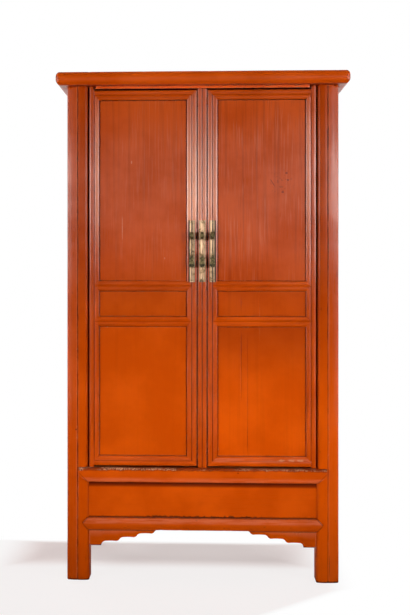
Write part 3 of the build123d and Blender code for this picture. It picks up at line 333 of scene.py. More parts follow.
def lap_outline(f, side, z):
    """A dark line along the slanting ends of the sill and the lower rail where they lap the posts."""
    low = f.off(z, LOWER_RAIL)
    pointed = f.plus(f.minus(side, 444 * MM), f.times(low, 0.92))
    slanted = f.minus(f.minus(side, 68.9 * MM), f.times(z, 0.968))
    at_rail = f.times(f.fall(low, 22, 26), f.rise(side, 416, 420))
    at_sill = f.band(z, 362, 366, 398, 406)
    rail = f.times(f.fall(f.math("ABSOLUTE", pointed), 1.0, 3.2, 0.45), at_rail)
    sill = f.times(f.fall(f.math("ABSOLUTE", slanted), 0.8, 3.2, 0.40), at_sill)
    return f.most(rail, sill)


def post_marks(f):
    x, side, z = f.front()
    off = f.off(side, POST_GROOVE)
    flecks = f.noise(f.stretch((1, 1, 0.12)), 130, 3, 0.6)
    f.lay(GRIME_AND_SHADE, f.fall(off, 0.8, 4), f.ramp(flecks, 0.5, 0.64), 0.9)
    f.lay(GRIME_AND_SHADE, f.fall(off, 0.8, 2.2), f.ramp(flecks, 0.38, 0.5, 0.45, 0.85))
    # Painted light and shade: the inner lobes darker towards the top, the left post's outer lobe darker
    # below 1.4 m, and both posts lighter low down, the right one most, as if lit from the right.
    f.lay(LACQUER_DARK, f.fall(side, 457, 462), f.rise(z, 450, 1100), 0.18)
    f.lay(LACQUER_DARK, f.fall(x, -466, -461, 0.14), f.fall(z, 1400, 1600))
    f.lay(toned(LACQUER, 1.12), f.rise(x, 0, 100, 0.25, 1.0), f.fall(z, 600, 1000, 0.48))
    scuffs = f.ramp(f.noise(f.stretch((1, 1, 0.4)), 34, 4, 0.65), 0.66, 0.72)
    f.lay(LACQUER_DARK, scuffs, 0.4)
    ragged = f.plus(z, f.times(f.noise(f.place, 40, 3, 0.6), 8 * MM))
    f.lay(GRIME_AND_SHADE, f.fall(ragged, 5, 12, 0.85))
    f.lay(GRIME_AND_SHADE, lap_outline(f, side, z))
    f.dab(GRIME_AND_SHADE, 0.85, (-469, -246, 559), (4, 20, 4.5))
    f.dab(GRIME_AND_SHADE, 0.8, (468.6, -246, 62), (1.3, 20, 58), edge=0.8)


def post_shine(f):
    """The outer lobes and the inner lips catch the light; between them the lacquer is dull."""
    side = f.front()[1]
    lip = f.rise(side, 427, 432, 1.2, 0.35)
    lobes = f.most(lip, f.rise(side, 456, 463, 0.35, 1.0))
    return f.times(lobes, f.rise(f.off(side, POST_GROOVE), 1.5, 4, 0.15, 1.0))


# %% Marks on the sill, the storage panel and the lower rail
def painted_crest_sheen(f, crest, most, scale=110):
    """A painted sheen: pale brushed strokes along the crest of a rail, at most this strong."""
    brushed = f.noise(f.stretch((0.1, 1, 1)), scale, 3, 0.6)
    f.lay(LACQUER_PALE, crest, f.ramp(brushed, 0.35, 0.6, 0.1, most))


def sill_marks(f):
    x, side, z = f.front()
    wave = f.plus(f.times(f.noise(f.place, 42, 4, 0.65), 15 * MM), z)
    worn = f.rise(wave, 418.5, 421.5)
    patch = f.ramp(f.noise(f.stretch((0.4, 1, 1)), 30, 3, 0.6), 0.42, 0.58)
    share = f.times(patch, f.rise(x, 0, 150, 1.0, 0.55))
    f.lay(LACQUER_DARK, f.rise(wave, 415.5, 418.5), 0.6)
    f.lay(WORN_BROWN, worn, 0.55)
    f.lay(f.bare, worn, share, 0.9)
    # A painted sheen along the sill's lower part.
    painted_crest_sheen(f, f.band(z, 366, 371, 376, 388), 0.35)
    f.lay(GRIME_AND_SHADE, lap_outline(f, side, z))
    f.dab(GRIME_AND_SHADE, 0.7, (132, -256, 404), (5, 20, 2.4))
    f.dab(f.bare, 0.85, (-449, -256, 412), (12, 20, 7), wobble=1.2)


def storage_marks(f):
    _, side, z = f.front()
    # A painted shadow under the sill, darkening towards the panel's top.
    f.lay(LACQUER_DARK, f.rise(z, 343, 353, 0.0, 0.9))
    f.lay(GRIME_AND_SHADE, f.rise(z, 350, 362, 0.0, 0.65))
    wave = f.minus(z, f.times(f.noise(f.place, 70, 4, 0.7), 32 * MM))
    middle = f.rise(side, 180, 260, 1.0, 0.25)
    f.lay(WORN_BROWN, f.fall(wave, 222, 225, 0.85), middle)
    f.lay(GRIME_AND_SHADE, f.fall(z, 236, 239, 0.7))


def rail_marks(f):
    _, side, z = f.front()
    # A painted sheen on the rail's upper half.
    painted_crest_sheen(f, f.band(z, 208, 218, 228, 234), 0.45, scale=120)
    spots = f.ramp(f.noise(f.stretch((0.5, 1, 1)), 60, 4, 0.65), 0.64, 0.70)
    f.lay(WORN_BROWN, spots, 0.4)
    f.lay(GRIME_AND_SHADE, lap_outline(f, side, z))
    ragged = f.minus(z, f.times(f.noise(f.place, 70, 4, 0.7), 7 * MM))
    f.lay(WORN_BROWN, f.rise(ragged, 227, 231, 0.0, 0.7))


# %% Marks on the top and the spandrels
SOFFIT = 1836                   # height of the top's underside, mm


def nosing_end_shade(f):
    """Painted shade on both ends of the top's nosing."""
    f.lay(GRIME_AND_SHADE, f.rise(f.front()[1], 533, 540, 0.0, 0.7))


def under_the_overhang(f):
    _, side, z = f.front()
    return f.times(f.rise(side, 505, 509), f.fall(z, SOFFIT + 1, SOFFIT + 4))


def soffit_bounce_light(f):
    # Painted light: the underside of the overhang goes rosy, as if lit from the floor below.
    f.lay(PAINTED_ROSE_LIGHT, under_the_overhang(f), 0.6)


def soffit_shine(f):
    return f.plus(f.times(under_the_overhang(f), 2.5), 1.0)


def spandrel_marks(f):
    f.lay(GRIME_AND_SHADE, f.rise(f.axes()[2], 181, 187, 0.0, 0.75))


# %% Marks on the door panels
PANEL_FACE = -236               # where their fronts lie, mm


def pale_fibres(f, share):
    """Fine pale streaks where the lacquer has thinned over the wood, in patches."""
    streaks = f.ramp(f.noise(f.stretch((1, 1, 0.03)), 170, 2, 0.6), 0.5, 0.68)
    patches = f.ramp(f.noise(f.place, 6, 2, 0.5), 0.44, 0.60)
    f.lay(LACQUER_PALE, streaks, patches, share)


def upper_left_marks(f):
    pale_fibres(f, 0.25)
    f.dab(WORN_PALE, 0.6, (-297, PANEL_FACE, 1306), (2.2, 20, 69), edge=0.9)
    f.dab(WORN_PALE, 0.6, (-262.8, PANEL_FACE, 1553.6), (2.6, 20, 7))
    f.dab(WORN_PALE, 0.45, (-139.4, PANEL_FACE, 1196.6), (3, 20, 6))
    f.lay(LACQUER_DARK, f.fall(f.axes()[2], 1090, 1330, 0.14))


def upper_right_marks(f):
    pale_fibres(f, 0.4)
    area = f.spot((290, PANEL_FACE, 1480), (70, 30, 62), edge=0.7)
    dots = f.ramp(f.noise(f.place, 120, 3, 0.6), 0.56, 0.64)
    f.lay(LACQUER_DARK, area, dots, 0.4)
    for x, z in ((311.8, 1511.7), (316.6, 1485.8), (298, 1441.3)):
        f.dab(LACQUER_DARK, 0.9, (x, PANEL_FACE, z), (6, 20, 5))
    f.dab(LACQUER_DARK, 0.7, (261, PANEL_FACE, 1474.5), (2.2, 20, 21.6), turn=-31)
    f.lay(LACQUER_DARK, f.fall(f.axes()[2], 1090, 1330, 0.20))


DIRTY_CRACKS = ((144.2, 760, 945), (167.2, 455, 600))       # place, foot and head, mm


def lower_right_marks(f):
    f.dab(WORN_PALE, 0.3, (212.8, PANEL_FACE, 960), (1.4, 20, 100), edge=0.9)
    z = f.axes()[2]
    f.lay(LACQUER_DARK, f.rise(z, 680, 960, 0.0, 0.50), f.rise(z, 965, 985, 1.0, 0.6))
    for x, low, high in DIRTY_CRACKS:
        f.dab(LACQUER_DARK, 0.7, (x, PANEL_FACE, (low + high) / 2), (1.8, 20, (high - low) / 2), edge=0.8)


# %% Marks on the door rails and stiles
PIVOT_REED = 391                # the bright reed of a pivot stile, mm from the middle


def door_rail_marks(f):
    x, _, z = f.front()
    # A painted sheen along the crest, weaker on the left door.
    crest = f.times(f.band(z, 436, 444, 452, 459), f.rise(x, -80, 80, 0.3, 1.0))
    painted_crest_sheen(f, crest, 0.45)
    # Painted shade: the left door's lower rails darker.
    f.lay(LACQUER_DARK, f.fall(x, -90, 90, 0.13), f.fall(z, 1200, 1300))
    for place in (292, 330, 361):
        f.dab(WORN_PALE, 0.6, (place, -241, 448), (17, 20, 5), wobble=1.6, grain=150)


def pivot_reed_highlight(f):
    _, side, z = f.front()
    # A painted highlight: a rosy line along the inner reed of each pivot stile, high on the door.
    reed = f.fall(f.off(side, PIVOT_REED), 3, 6)
    reed = f.times(reed, f.ramp(f.attribute("hollow"), 0.1, 0.5, 1.0, 0.0))
    f.lay(PAINTED_ROSE_LIGHT, reed, f.times(f.rise(z, 1150, 1400), f.rise(z, 1650, 1800, 0.42, 0.1)))


def lock_marks(f):
    """Painted rosy highlights on the reeds above the plates, dirt in the reed valleys, and painted
    shadows of the eyes and pulls beside the plates.
    """
    x, _, z = f.front()
    # A painted highlight on the reeds above the plates, strongest on the left.
    reed_highlight = f.times(f.rise(z, 1290, 1360), f.rise(z, 1400, 1780, 1.0, 0.15))
    hollow = f.attribute("hollow")
    reed_highlight = f.times(reed_highlight, f.ramp(hollow, 0.15, 0.6, 1.0, 0.0))
    f.lay(PAINTED_ROSE_LIGHT, reed_highlight, f.rise(x, -30, -10, 0.85, 0.45))
    f.lay(GRIME_AND_SHADE, f.ramp(hollow, 0.35, 0.8, 0.0, 0.85))
    # Painted shadows of the eyes and the pulls beside the plates, and of the eyes further out.
    for x in (-20.5, 20.5):
        f.dab(GRIME_AND_SHADE, 0.95, (x, -240, 1274), (4.5, 30, 9), wobble=0.5)
        f.dab(GRIME_AND_SHADE, 0.9, (x, -240, 1176), (3.5, 30, 17), wobble=0.7)
    for x, z in ((-66.5, 1272), (66.5, 1275)):
        f.dab(LACQUER_DARK, 0.9, (x, -240, z), (5, 30, 8))


# %% A lacquer for each kind of piece
POSTS = lacquer("lacquer_posts", "upright", tone=0.95, rub=0.35, gloss=1.3, marks=post_marks,
                dull=post_shine)
# The top's front and the head strip under it are lighter in tone, a painted light: the strip lies in the
# overhang's shade.
TOP = lacquer("lacquer_top", "across", 0.8, tone=1.25, marks=nosing_end_shade)
TOP_SIDES = lacquer("lacquer_top_sides", "deep", marks=soffit_bounce_light, dull=soffit_shine)
HEAD = lacquer("lacquer_head", "across", 0.6, tone=1.5)
SILL = lacquer("lacquer_sill", "across", 0.6, rub=0.4, marks=sill_marks)
STORAGE = lacquer("lacquer_storage", "across", 0.4, rub=0.3, marks=storage_marks)
RAIL = lacquer("lacquer_rail", "across", 0.7, tone=0.93, marks=rail_marks)
SPANDREL = lacquer("lacquer_spandrels", "across", 0.6, tone=0.9, rub=0.2, gloss=0.5,
                   marks=spandrel_marks)
LOCK = lacquer("lacquer_lock_stiles", "upright", tone=0.88, rub=0.9, gloss=1.3, marks=lock_marks)
FRAME = {"upright": lacquer("lacquer_pivot_stiles", "upright", tone=0.9, gloss=1.3,
                            marks=pivot_reed_highlight),
         "across": lacquer("lacquer_door_rails", "across", tone=0.98, marks=door_rail_marks)}

# Each door panel: its streaks, tone, gloss and marks. The tones paint light and shade: the
# right-hand panels lighter, as if lit from the right, and the left waist panel darker.
PANEL_LOOKS = (("left", "upper", 1.2, 0.98, 0.75, upper_left_marks),
               ("left", "waist", 0.5, 0.84, 0.5, None),
               ("left", "lower", 0.4, 0.96, 0.6, None),
               ("right", "upper", 1.9, 1.0, 0.75, upper_right_marks),
               ("right", "waist", 0.8, 1.07, 0.5, lower_right_marks),
               ("right", "lower", 0.6, 1.05, 0.6, lower_right_marks))
PANEL = {}
for side, panel, streaks, tone, gloss, marks in PANEL_LOOKS:
    PANEL[side + "_" + panel] = lacquer("lacquer_" + panel + "_" + side, "upright", streaks, tone,
                                        gloss=gloss, marks=marks)
print("lacquers in all:", sum(m.name.startswith("lacquer_") for m in bpy.data.materials))

# %% [markdown]
# ## Unlacquered wood
# The back, the shelf and the insides of the drawers were never lacquered. They are a softwood
# that has turned brown. Its grain could be a picture of boards, but a picture repeats and fits one
# size only. Here one noise, stretched forty times along the fibres, gives the wide bands and a
# second, finer one the pores. A board shows its grain along its length, so each piece picks the
# stretched direction it was sawn in; the frame of the back holds rails and short posts in a single
# mesh and therefore switches direction by position.

# %% Bare softwood
WOOD_LIGHT = paint(150, 104, 66)
WOOD_DARK = paint(96, 60, 36)
REAR_RAIL = 1093                # height of the middle rail's middle, mm


def framed_fibres(f):
    """Grain across in the rails of the back and upright in the two short posts between them."""
    _, side, z = f.front()
    narrow = f.fall(side, 30, 30.5)
    off_rail = f.rise(f.off(z, REAR_RAIL), 17.8, 18)
    above_sill = f.rise(z, 419.8, 420)
    share = f.times(f.times(narrow, off_rail), above_sill)
    return f.mix(share, f.stretch(ALONG["across"]), f.stretch(ALONG["upright"]))


def bare_wood(name, grain=None):
    f = Finish(name)
    fibres = f.stretch(ALONG[grain]) if grain else framed_fibres(f)
    rings = f.noise(fibres, 60, 4, 0.6)
    pores = f.noise(fibres, 420, 2, 0.6)
    cloud = f.noise(f.place, 6, 3, 0.5)
    f.colour = f.mix(f.ramp(rings, 0.35, 0.65), WOOD_LIGHT, WOOD_DARK)
    f.lay(GRIME_AND_SHADE, f.ramp(pores, 0.55, 0.75), 0.5)
    f.lay(WOOD_DARK, f.ramp(cloud, 0.45, 0.7), 0.4)
    roughness = f.ramp(rings, 0.3, 0.7, 0.62, 0.78)
    normal = f.bump(rings, 0.4 * MM)
    normal = f.bump(pores, 0.15 * MM, normal)
    return f.surface(roughness, normal, Specular_IOR_Level=0.3)


BARE = {grain: bare_wood("bare_wood_" + grain, grain) for grain in ALONG}
BARE["framed"] = bare_wood("bare_wood_framed")
print("bare woods:", list(BARE))

# %% [markdown]
# ## Brass
# The plates are thin rubbed brass, pale where hands polish it and black in the channel between
# the reeds. The eyes, nails and pulls are cast and have a dark olive skin. A fully metallic shader
# shows nothing but what it mirrors, and in a white studio that looks like chrome. Old brass carries
# a dull film over the metal, so both finishes are only partly metallic, and the tarnish, a near
# black that also roughens, does the drawing.

# %% Pale plates and dark fittings
BRASS_PALE = paint(191, 154, 119)
BRASS_TAN = paint(150, 114, 72)
TARNISH = paint(30, 26, 18)
OLIVE = paint(136, 120, 78)
OLIVE_DARK = paint(80, 70, 44)


def rubbed_brass(name):
    f = Finish(name)
    drawn = f.stretch((1, 1, 0.15))
    scratch = f.noise(drawn, 500, 3, 0.6)
    cloud = f.noise(f.place, 60, 4, 0.6)
    hollow = f.attribute("hollow")
    arris = f.attribute("arris")
    f.colour = f.mix(f.ramp(cloud, 0.45, 0.7), BRASS_PALE, BRASS_TAN)
    ragged = f.plus(hollow, f.times(f.minus(f.noise(drawn, 160, 3, 0.6), 0.5), 1.1))
    spots = f.times(f.ramp(cloud, 0.56, 0.70), 0.7)
    dull = f.most(f.times(f.ramp(ragged, 0.25, 0.8), 0.94), spots)
    dull = f.most(dull, f.times(arris, 0.8))
    f.lay(TARNISH, dull)
    smear = f.plus(f.times(scratch, 0.4), f.times(dull, 0.5))
    roughness = f.ramp(smear, 0.1, 0.8, 0.30, 0.62)
    normal = f.bump(cloud, 0.25 * MM)
    normal = f.bump(scratch, 0.03 * MM, normal)
    return f.surface(roughness, normal, Metallic=0.55)


def dark_brass(name):
    f = Finish(name)
    cloud = f.noise(f.place, 180, 4, 0.6)
    grain = f.noise(f.place, 900, 2, 0.5)
    f.colour = f.mix(f.ramp(cloud, 0.38, 0.62), OLIVE, OLIVE_DARK)
    f.lay(TARNISH, f.attribute("hollow"), 0.7)
    roughness = f.ramp(cloud, 0.35, 0.65, 0.42, 0.6)
    normal = f.bump(cloud, 0.2 * MM)
    normal = f.bump(grain, 0.04 * MM, normal)
    return f.surface(roughness, normal, Metallic=0.7)


PLATE = rubbed_brass("rubbed_brass")
FITTING = dark_brass("dark_brass")
print("brasses:", PLATE.name, FITTING.name)

# %% [markdown]
# ## From joiner's solid to old timber
# A joiner's drawing has knife-sharp edges and dead-flat faces, and nothing looks newer. Each
# visible piece is therefore a copy of its solid with four changes: its edges are rounded, it is
# sliced into short lengths, every surface wanders by a fraction of a millimetre, and the rounded
# edges lose small chips. A Bevel modifier could round the edges, but the slices and chips need
# to know which faces the rounding made, so `bmesh` does all of it.

# %% A clean copy of a solid
MERGE = 0.005 * MM              # loose corners closer than this are one
FLAT = math.radians(0.5)        # faces that turn less are one face
SHARP = math.radians(30)        # edges that turn more are rounded


def solid_of(node):
    """The node's mesh with its loose triangles joined and its flat faces made whole."""
    bm = bmesh.new()
    bm.from_mesh(frame["nodes"][node].data)
    bmesh.ops.remove_doubles(bm, verts=bm.verts, dist=MERGE)
    bmesh.ops.dissolve_limit(bm, angle_limit=FLAT, verts=bm.verts, edges=bm.edges)
    return bm


def soften(bm, width, shortest=12 * MM):
    """Round the sharp outer edges and mark the faces that this makes."""
    mark = bm.faces.layers.int.new("arris")
    edges = [e for e in bm.edges if e.is_manifold and e.calc_face_angle_signed(0) > SHARP
             and e.calc_length() > shortest]
    made = bmesh.ops.bevel(bm, geom=edges, offset=width, offset_type="OFFSET", segments=2,
                           profile=0.5, affect="EDGES", clamp_overlap=False)
    for face in made["faces"]:
        face[mark] = 1
    return mark


def slice_at(bm, axis, places):
    """Cut every face that crosses these places along an axis (0, 1 or 2)."""
    normal = Vector((axis == 0, axis == 1, axis == 2))
    for place in places:
        bmesh.ops.bisect_plane(bm, geom=bm.verts[:] + bm.edges[:] + bm.faces[:], dist=1e-7,
                               plane_co=normal * place, plane_no=normal)


def span(bm, axis):
    values = [v.co[axis] for v in bm.verts]
    return min(values), max(values)


def steps(low, high, step):
    count = max(1, round((high - low) / step))
    return [low + (high - low) * i / count for i in range(1, count)]


# %% Wander and chips
WANDER_SCALE = 14               # waves in a metre
CHIP_SCALES = (70, 23)          # small knocks, and the wider ones that gather them
CHIP_START = 0.35               # only the strongest knocks leave a chip


def stay_inside(bm, node):
    """Keep the worked surface inside the space that the joiner's solid takes."""
    low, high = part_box(node)
    for vertex in bm.verts:
        vertex.co = [min(max(c, a), b) for c, a, b in zip(vertex.co, low, high)]


def wander(bm, amount, seed):
    """Push each vertex along its normal by a slow noise, as a plane and a brush leave it."""
    bm.normal_update()
    offset = Vector((seed * 1.7, seed * 0.9, seed * 2.3))
    shifts = [v.normal * amount * noise.noise(v.co * WANDER_SCALE + offset) for v in bm.verts]
    for vertex, shift in zip(bm.verts, shifts):
        vertex.co += shift


def chip(bm, mark, depth, seed):
    """Knock small chips into the rounded edges."""
    offset = Vector((seed * 3.1, seed, 0))
    small, wide = CHIP_SCALES
    for vertex in {v for face in bm.faces if face[mark] for v in face.verts}:
        knock = noise.noise(vertex.co * small + offset) + 0.5 * noise.noise(vertex.co * wide + offset)
        if knock > CHIP_START:
            vertex.co -= vertex.normal * depth * min(1.0, (knock - CHIP_START) * 3)


# %% Wear, told to the finishes
VALLEY = math.radians(18)       # edges that fold in more than this hold dirt
DIRT_REACH = 2.3 * MM           # how far it spreads from them
REED_VALLEY = 1.8 * MM          # half width of the dirt between two reeds


def tell_wear(bm, mark):
    """Write the arris and hollow attributes that the finishes read."""
    arris = bm.verts.layers.float.new("arris")
    hollow = bm.verts.layers.float.new("hollow")
    for face in bm.faces:
        if face[mark]:
            for vertex in face.verts:
                vertex[arris] = 1.0
    for edge in bm.edges:
        if edge.is_manifold and edge.calc_face_angle_signed(0) < -VALLEY:
            for vertex in edge.verts:
                vertex[hollow] = 1.0
    for vertex in [v for v in bm.verts if v[hollow] == 1.0]:
        for edge in vertex.link_edges:
            other = edge.other_vert(vertex)
            if edge.calc_length() < DIRT_REACH:
                other[hollow] = max(other[hollow], 0.45)


def fill_valley(bm, place):
    """Let dirt lie along the valley between two upright reeds."""
    hollow = bm.verts.layers.float["hollow"]
    front = min(v.co.y for v in bm.verts)
    for vertex in bm.verts:
        if vertex.co.y < front + 4 * MM:
            deep = min(0.78, 1.3 - abs(vertex.co.x - place) / REED_VALLEY)
            vertex[hollow] = max(vertex[hollow], deep)


# %% Splits in a panel
GAPE = 0.9 * MM                 # from the crack's middle to either lip
CRACK_FADE = 40 * MM            # it closes over this length at both ends
CRACK_SWAY = 1.6 * MM           # how far it strays from a straight line


def split(bm, place, low, high, depth):
    """Open a fine crack along the grain: three close cuts, the middle one pushed in."""
    slice_at(bm, 0, (place - GAPE, place, place + GAPE))
    hollow = bm.verts.layers.float["hollow"]
    cut = [v for v in bm.verts if abs(v.co.x - place) < 1.5 * GAPE and low <= v.co.z <= high]
    face = min(v.co.y for v in cut)
    for vertex in cut:
        if vertex.co.y < face + 0.5 * MM:
            inside = min(vertex.co.z - low, high - vertex.co.z)
            fade = max(0.0, min(1.0, inside / CRACK_FADE))
            if abs(vertex.co.x - place) < 0.1 * GAPE:
                vertex.co.y += depth * fade
                vertex[hollow] = fade
            vertex.co.x += CRACK_SWAY * noise.noise(Vector((place * 90, 0, vertex.co.z * 9)))


# %% A finished piece
pieces = []
CREASE = math.radians(38)       # sharper turns keep a hard shading edge


def stand_in(bm, node, suffix, material):
    """Turn the worked mesh into an object that stands for the node."""
    bmesh.ops.triangulate(bm, faces=bm.faces)
    mesh = bpy.data.meshes.new(node + suffix)
    bm.to_mesh(mesh)
    bm.free()
    mesh.shade_smooth()
    mesh.set_sharp_from_angle(angle=CREASE)
    mesh.materials.append(material)
    piece = new_object(node + suffix, mesh)
    weighted = piece.modifiers.new("even_shading", "WEIGHTED_NORMAL")
    weighted.keep_sharp = True
    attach(piece, BODY[node])
    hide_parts(node)
    pieces.append(piece)


# %% The whole way
GRAIN_AXIS = {"upright": 2, "across": 0, "deep": 1}
SUPPORT = 3 * MM                # cuts this far in from each side keep the wear narrow
TIMBER_CHIP = 0.8 * MM          # the deepest chips


def old_timber(node, grain, material, edge=1.0 * MM, step=14 * MM, amount=0.35 * MM, sides=None,
               splits=(), valley=None):
    """From the joiner's solid to the piece that is seen."""
    seed = sum(map(ord, node))
    axis = GRAIN_AXIS[grain]
    bm = solid_of(node)
    mark = soften(bm, edge)
    slice_at(bm, axis, steps(*span(bm, axis), step))
    for other in {0, 1, 2} - {axis}:
        low, high = span(bm, other)
        if high - low > 4 * SUPPORT:
            slice_at(bm, other, (low + SUPPORT, high - SUPPORT))
            if sides and high - low > 2 * sides:
                slice_at(bm, other, steps(low + SUPPORT, high - SUPPORT, sides))
    tell_wear(bm, mark)
    if valley is not None:
        fill_valley(bm, valley)
    for crack in splits:
        split(bm, *[value * MM for value in crack])
    wander(bm, amount, seed)
    chip(bm, mark, TIMBER_CHIP, seed)
    stay_inside(bm, node)
    stand_in(bm, node, "_aged", material)


# %% [markdown]
# ## Frame, top and rails
# The posts run the full height; the rails between them run across. Each piece takes the lacquer
# whose streaks follow its own grain, which is what makes the joints readable on the real thing.
# The length of the slices decides how quickly a surface may wander: long posts get 14 mm slices,
# thin rails 8 to 10 mm. Wide panels are cut both ways, since a board also cups across its grain.

# %% Posts
for node in ("post_front_left", "post_front_right", "post_rear_left", "post_rear_right"):
    old_timber(node, "upright", POSTS)
print("triangles in the posts:", [len(piece.data.polygons) for piece in pieces])

# %% Rails across the front and the top
ACROSS = {"top_front_rail": TOP, "top_rear_rail": TOP, "head_strip": HEAD, "sill_rail": SILL,
          "lower_rail": RAIL}
for node, material in ACROSS.items():
    old_timber(node, "across", material, edge=1.2 * MM, step=8 * MM)
for node in ("top_left_rail", "top_right_rail"):
    old_timber(node, "deep", TOP_SIDES, step=10 * MM)
for node in ("left_side_rails", "right_side_rails", "left_side_apron", "right_side_apron"):
    old_timber(node, "deep", RED["deep"], step=10 * MM)
for node in ("spandrel_left", "spandrel_right"):
    old_timber(node, "across", SPANDREL, step=8 * MM)
print("posts and rails:", len(pieces))

# %% Panels of the case
for node, material in (("storage_front_panel", STORAGE), ("top_panel", RED["across"])):
    old_timber(node, "across", material, step=12 * MM, sides=10 * MM)
for node in ("left_side_panels", "right_side_panels"):
    old_timber(node, "upright", RED["upright"], step=16 * MM, sides=12 * MM)
print("pieces so far:", len(pieces))

# %% [markdown]
# ## Doors
# Each door is a frame of reeded stiles and rails round three floating panels. The panels are wide
# boards, and wide boards shrink: the lower right one has split twice along its grain, and so has
# the small one above it. A crack is real depth here, because a painted line would vanish as soon
# as the light came from the side.

# %% Door frames
FINE = {"edge": 0.8 * MM, "step": 12 * MM}      # narrow rounding and short slices
STILES = {"_pivot_stile": (FRAME["upright"], 401.5 * MM), "_lock_stile": (LOCK, 38.5 * MM)}
for side, way in (("left", -1), ("right", 1)):
    for member, (material, valley) in STILES.items():
        old_timber(side + member, "upright", material, valley=way * valley, **FINE)
    for member in ("_door_end_rails", "_waist_rails"):
        old_timber(side + member, "across", FRAME["across"], edge=FINE["edge"], step=10 * MM)
old_timber("centre_stile", "upright", LOCK, valley=0.0, **FINE)
print("pieces with the frames:", len(pieces))

# %% Door panels
# Each crack: its place, foot, head and depth in millimetres.
SPLITS = {"right_lower": ((144.2, 652, 945, 2.4), (167.2, 460, 932, 1.6)),
          "right_waist": ((144.2, 974, 1080, 2.2), (212.8, 974, 1080, 0.8))}
for name, material in PANEL.items():
    old_timber(name + "_panel", "upright", material, sides=8 * MM, amount=0.5 * MM,
               splits=SPLITS.get(name, ()), **FINE)
for side in ("left", "right"):
    old_timber(side + "_drawer_front", "across", RED["across"])
print("pieces with the doors:", len(pieces))

# %% [markdown]
# ## Brasswork
# A plate is thin sheet beaten over the two reeds of its stile. Polishing reaches the two lobes and
# leaves the valley between them and the turned-down sides black, so the `hollow` attribute is
# written here from the distance to the plate's middle line. The eyes, rings and pulls are castings:
# the same solids with their edges softened.

# %% Plates
PLATE_EDGE = 0.3 * MM           # its rounding, and the depth of its dents
PLATE_CUTS = (-0.86, -0.7, -0.4, -0.18, 0, 0.18, 0.4, 0.7, 0.86)        # in half widths


def beaten_plate(node):
    seed = sum(map(ord, node))
    bm = solid_of(node)
    mark = soften(bm, PLATE_EDGE)
    low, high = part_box(node)
    middle = (low.x + high.x) / 2
    half = (high.x - low.x) / 2
    slice_at(bm, 2, steps(*span(bm, 2), 4 * MM))
    slice_at(bm, 0, [middle + half * share for share in PLATE_CUTS])
    tell_wear(bm, mark)
    hollow = bm.verts.layers.float["hollow"]
    outward = 0 if abs(middle) < 5 * MM else math.copysign(1, middle)
    for vertex in bm.verts:
        across = (vertex.co.x - middle) / half
        valley = (1.0 if outward else 0.7) - abs(across) / 0.42
        rim = (abs(across) - 0.84) / 0.16
        turned_down = (across * outward - 0.5) / 0.25
        vertex[hollow] = min(1.0, max(0.0, valley, rim, turned_down))
    wander(bm, 0.12 * MM, seed)
    chip(bm, mark, PLATE_EDGE, seed)
    stay_inside(bm, node)
    stand_in(bm, node, "_aged", PLATE)


# %% Castings
CAST_EDGE = 0.5 * MM            # rounding of the castings


def loose_parts(bm):
    """The mesh's separate shells, each as a set of vertices."""
    left = set(bm.verts)
    parts = []
    while left:
        part = set()
        queue = [left.pop()]
        while queue:
            vertex = queue.pop()
            part.add(vertex)
            for edge in vertex.link_edges:
                other = edge.other_vert(vertex)
                if other in left:
                    left.remove(other)
                    queue.append(other)
        parts.append(part)
    return parts


def centre_of(part, axis):
    values = [v.co[axis] for v in part]
    return (min(values) + max(values)) / 2


def front_of(part):
    return Vector((centre_of(part, 0), min(v.co.y for v in part), centre_of(part, 2)))


def cast(node, leave_out=None):
    """A softened casting; leave_out tells which of its shells another piece stands for."""
    bm = solid_of(node)
    dropped = [part for part in loose_parts(bm) if leave_out and leave_out(part)]
    places = [front_of(part) for part in dropped]
    bmesh.ops.delete(bm, geom=[v for part in dropped for v in part], context="VERTS")
    mark = soften(bm, CAST_EDGE, shortest=1.2 * MM)
    tell_wear(bm, mark)
    stay_inside(bm, node)
    stand_in(bm, node, "_cast", FITTING)
    return places


# %% Plates, eyes, rings and pulls
PLATE_MIDDLE = 1222 * MM        # height of the plates' middle
nail_places = {}


def is_nail(part):
    """A nail is a small shell near either end of its plate."""
    height = max(v.co.z for v in part) - min(v.co.z for v in part)
    return height < 9 * MM and abs(centre_of(part, 2) - PLATE_MIDDLE) > 80 * MM


for side in ("left", "centre", "right"):
    beaten_plate(side + "_plate")
    nail_places[side] = cast(side + "_fixings", leave_out=is_nail)
    cast(side + "_pull")
for side in ("left", "right"):
    cast(side + "_drawer_knob")
print("nails found:", {side: len(places) for side, places in nail_places.items()})

# %% [markdown]
# Six nails hold the plates, two on each. They repeat, so a small Geometry Nodes tree makes them: a
# flattened ball is placed on every vertex of a point cloud, each one turned and sized a little
# differently from a fixed seed. The modifier is applied at once, because an export keeps meshes
# and drops instances.

# %% A tree that drives nails
NAIL_RADIUS = 2.6 * MM
NAIL_RISE = 1.7 * MM


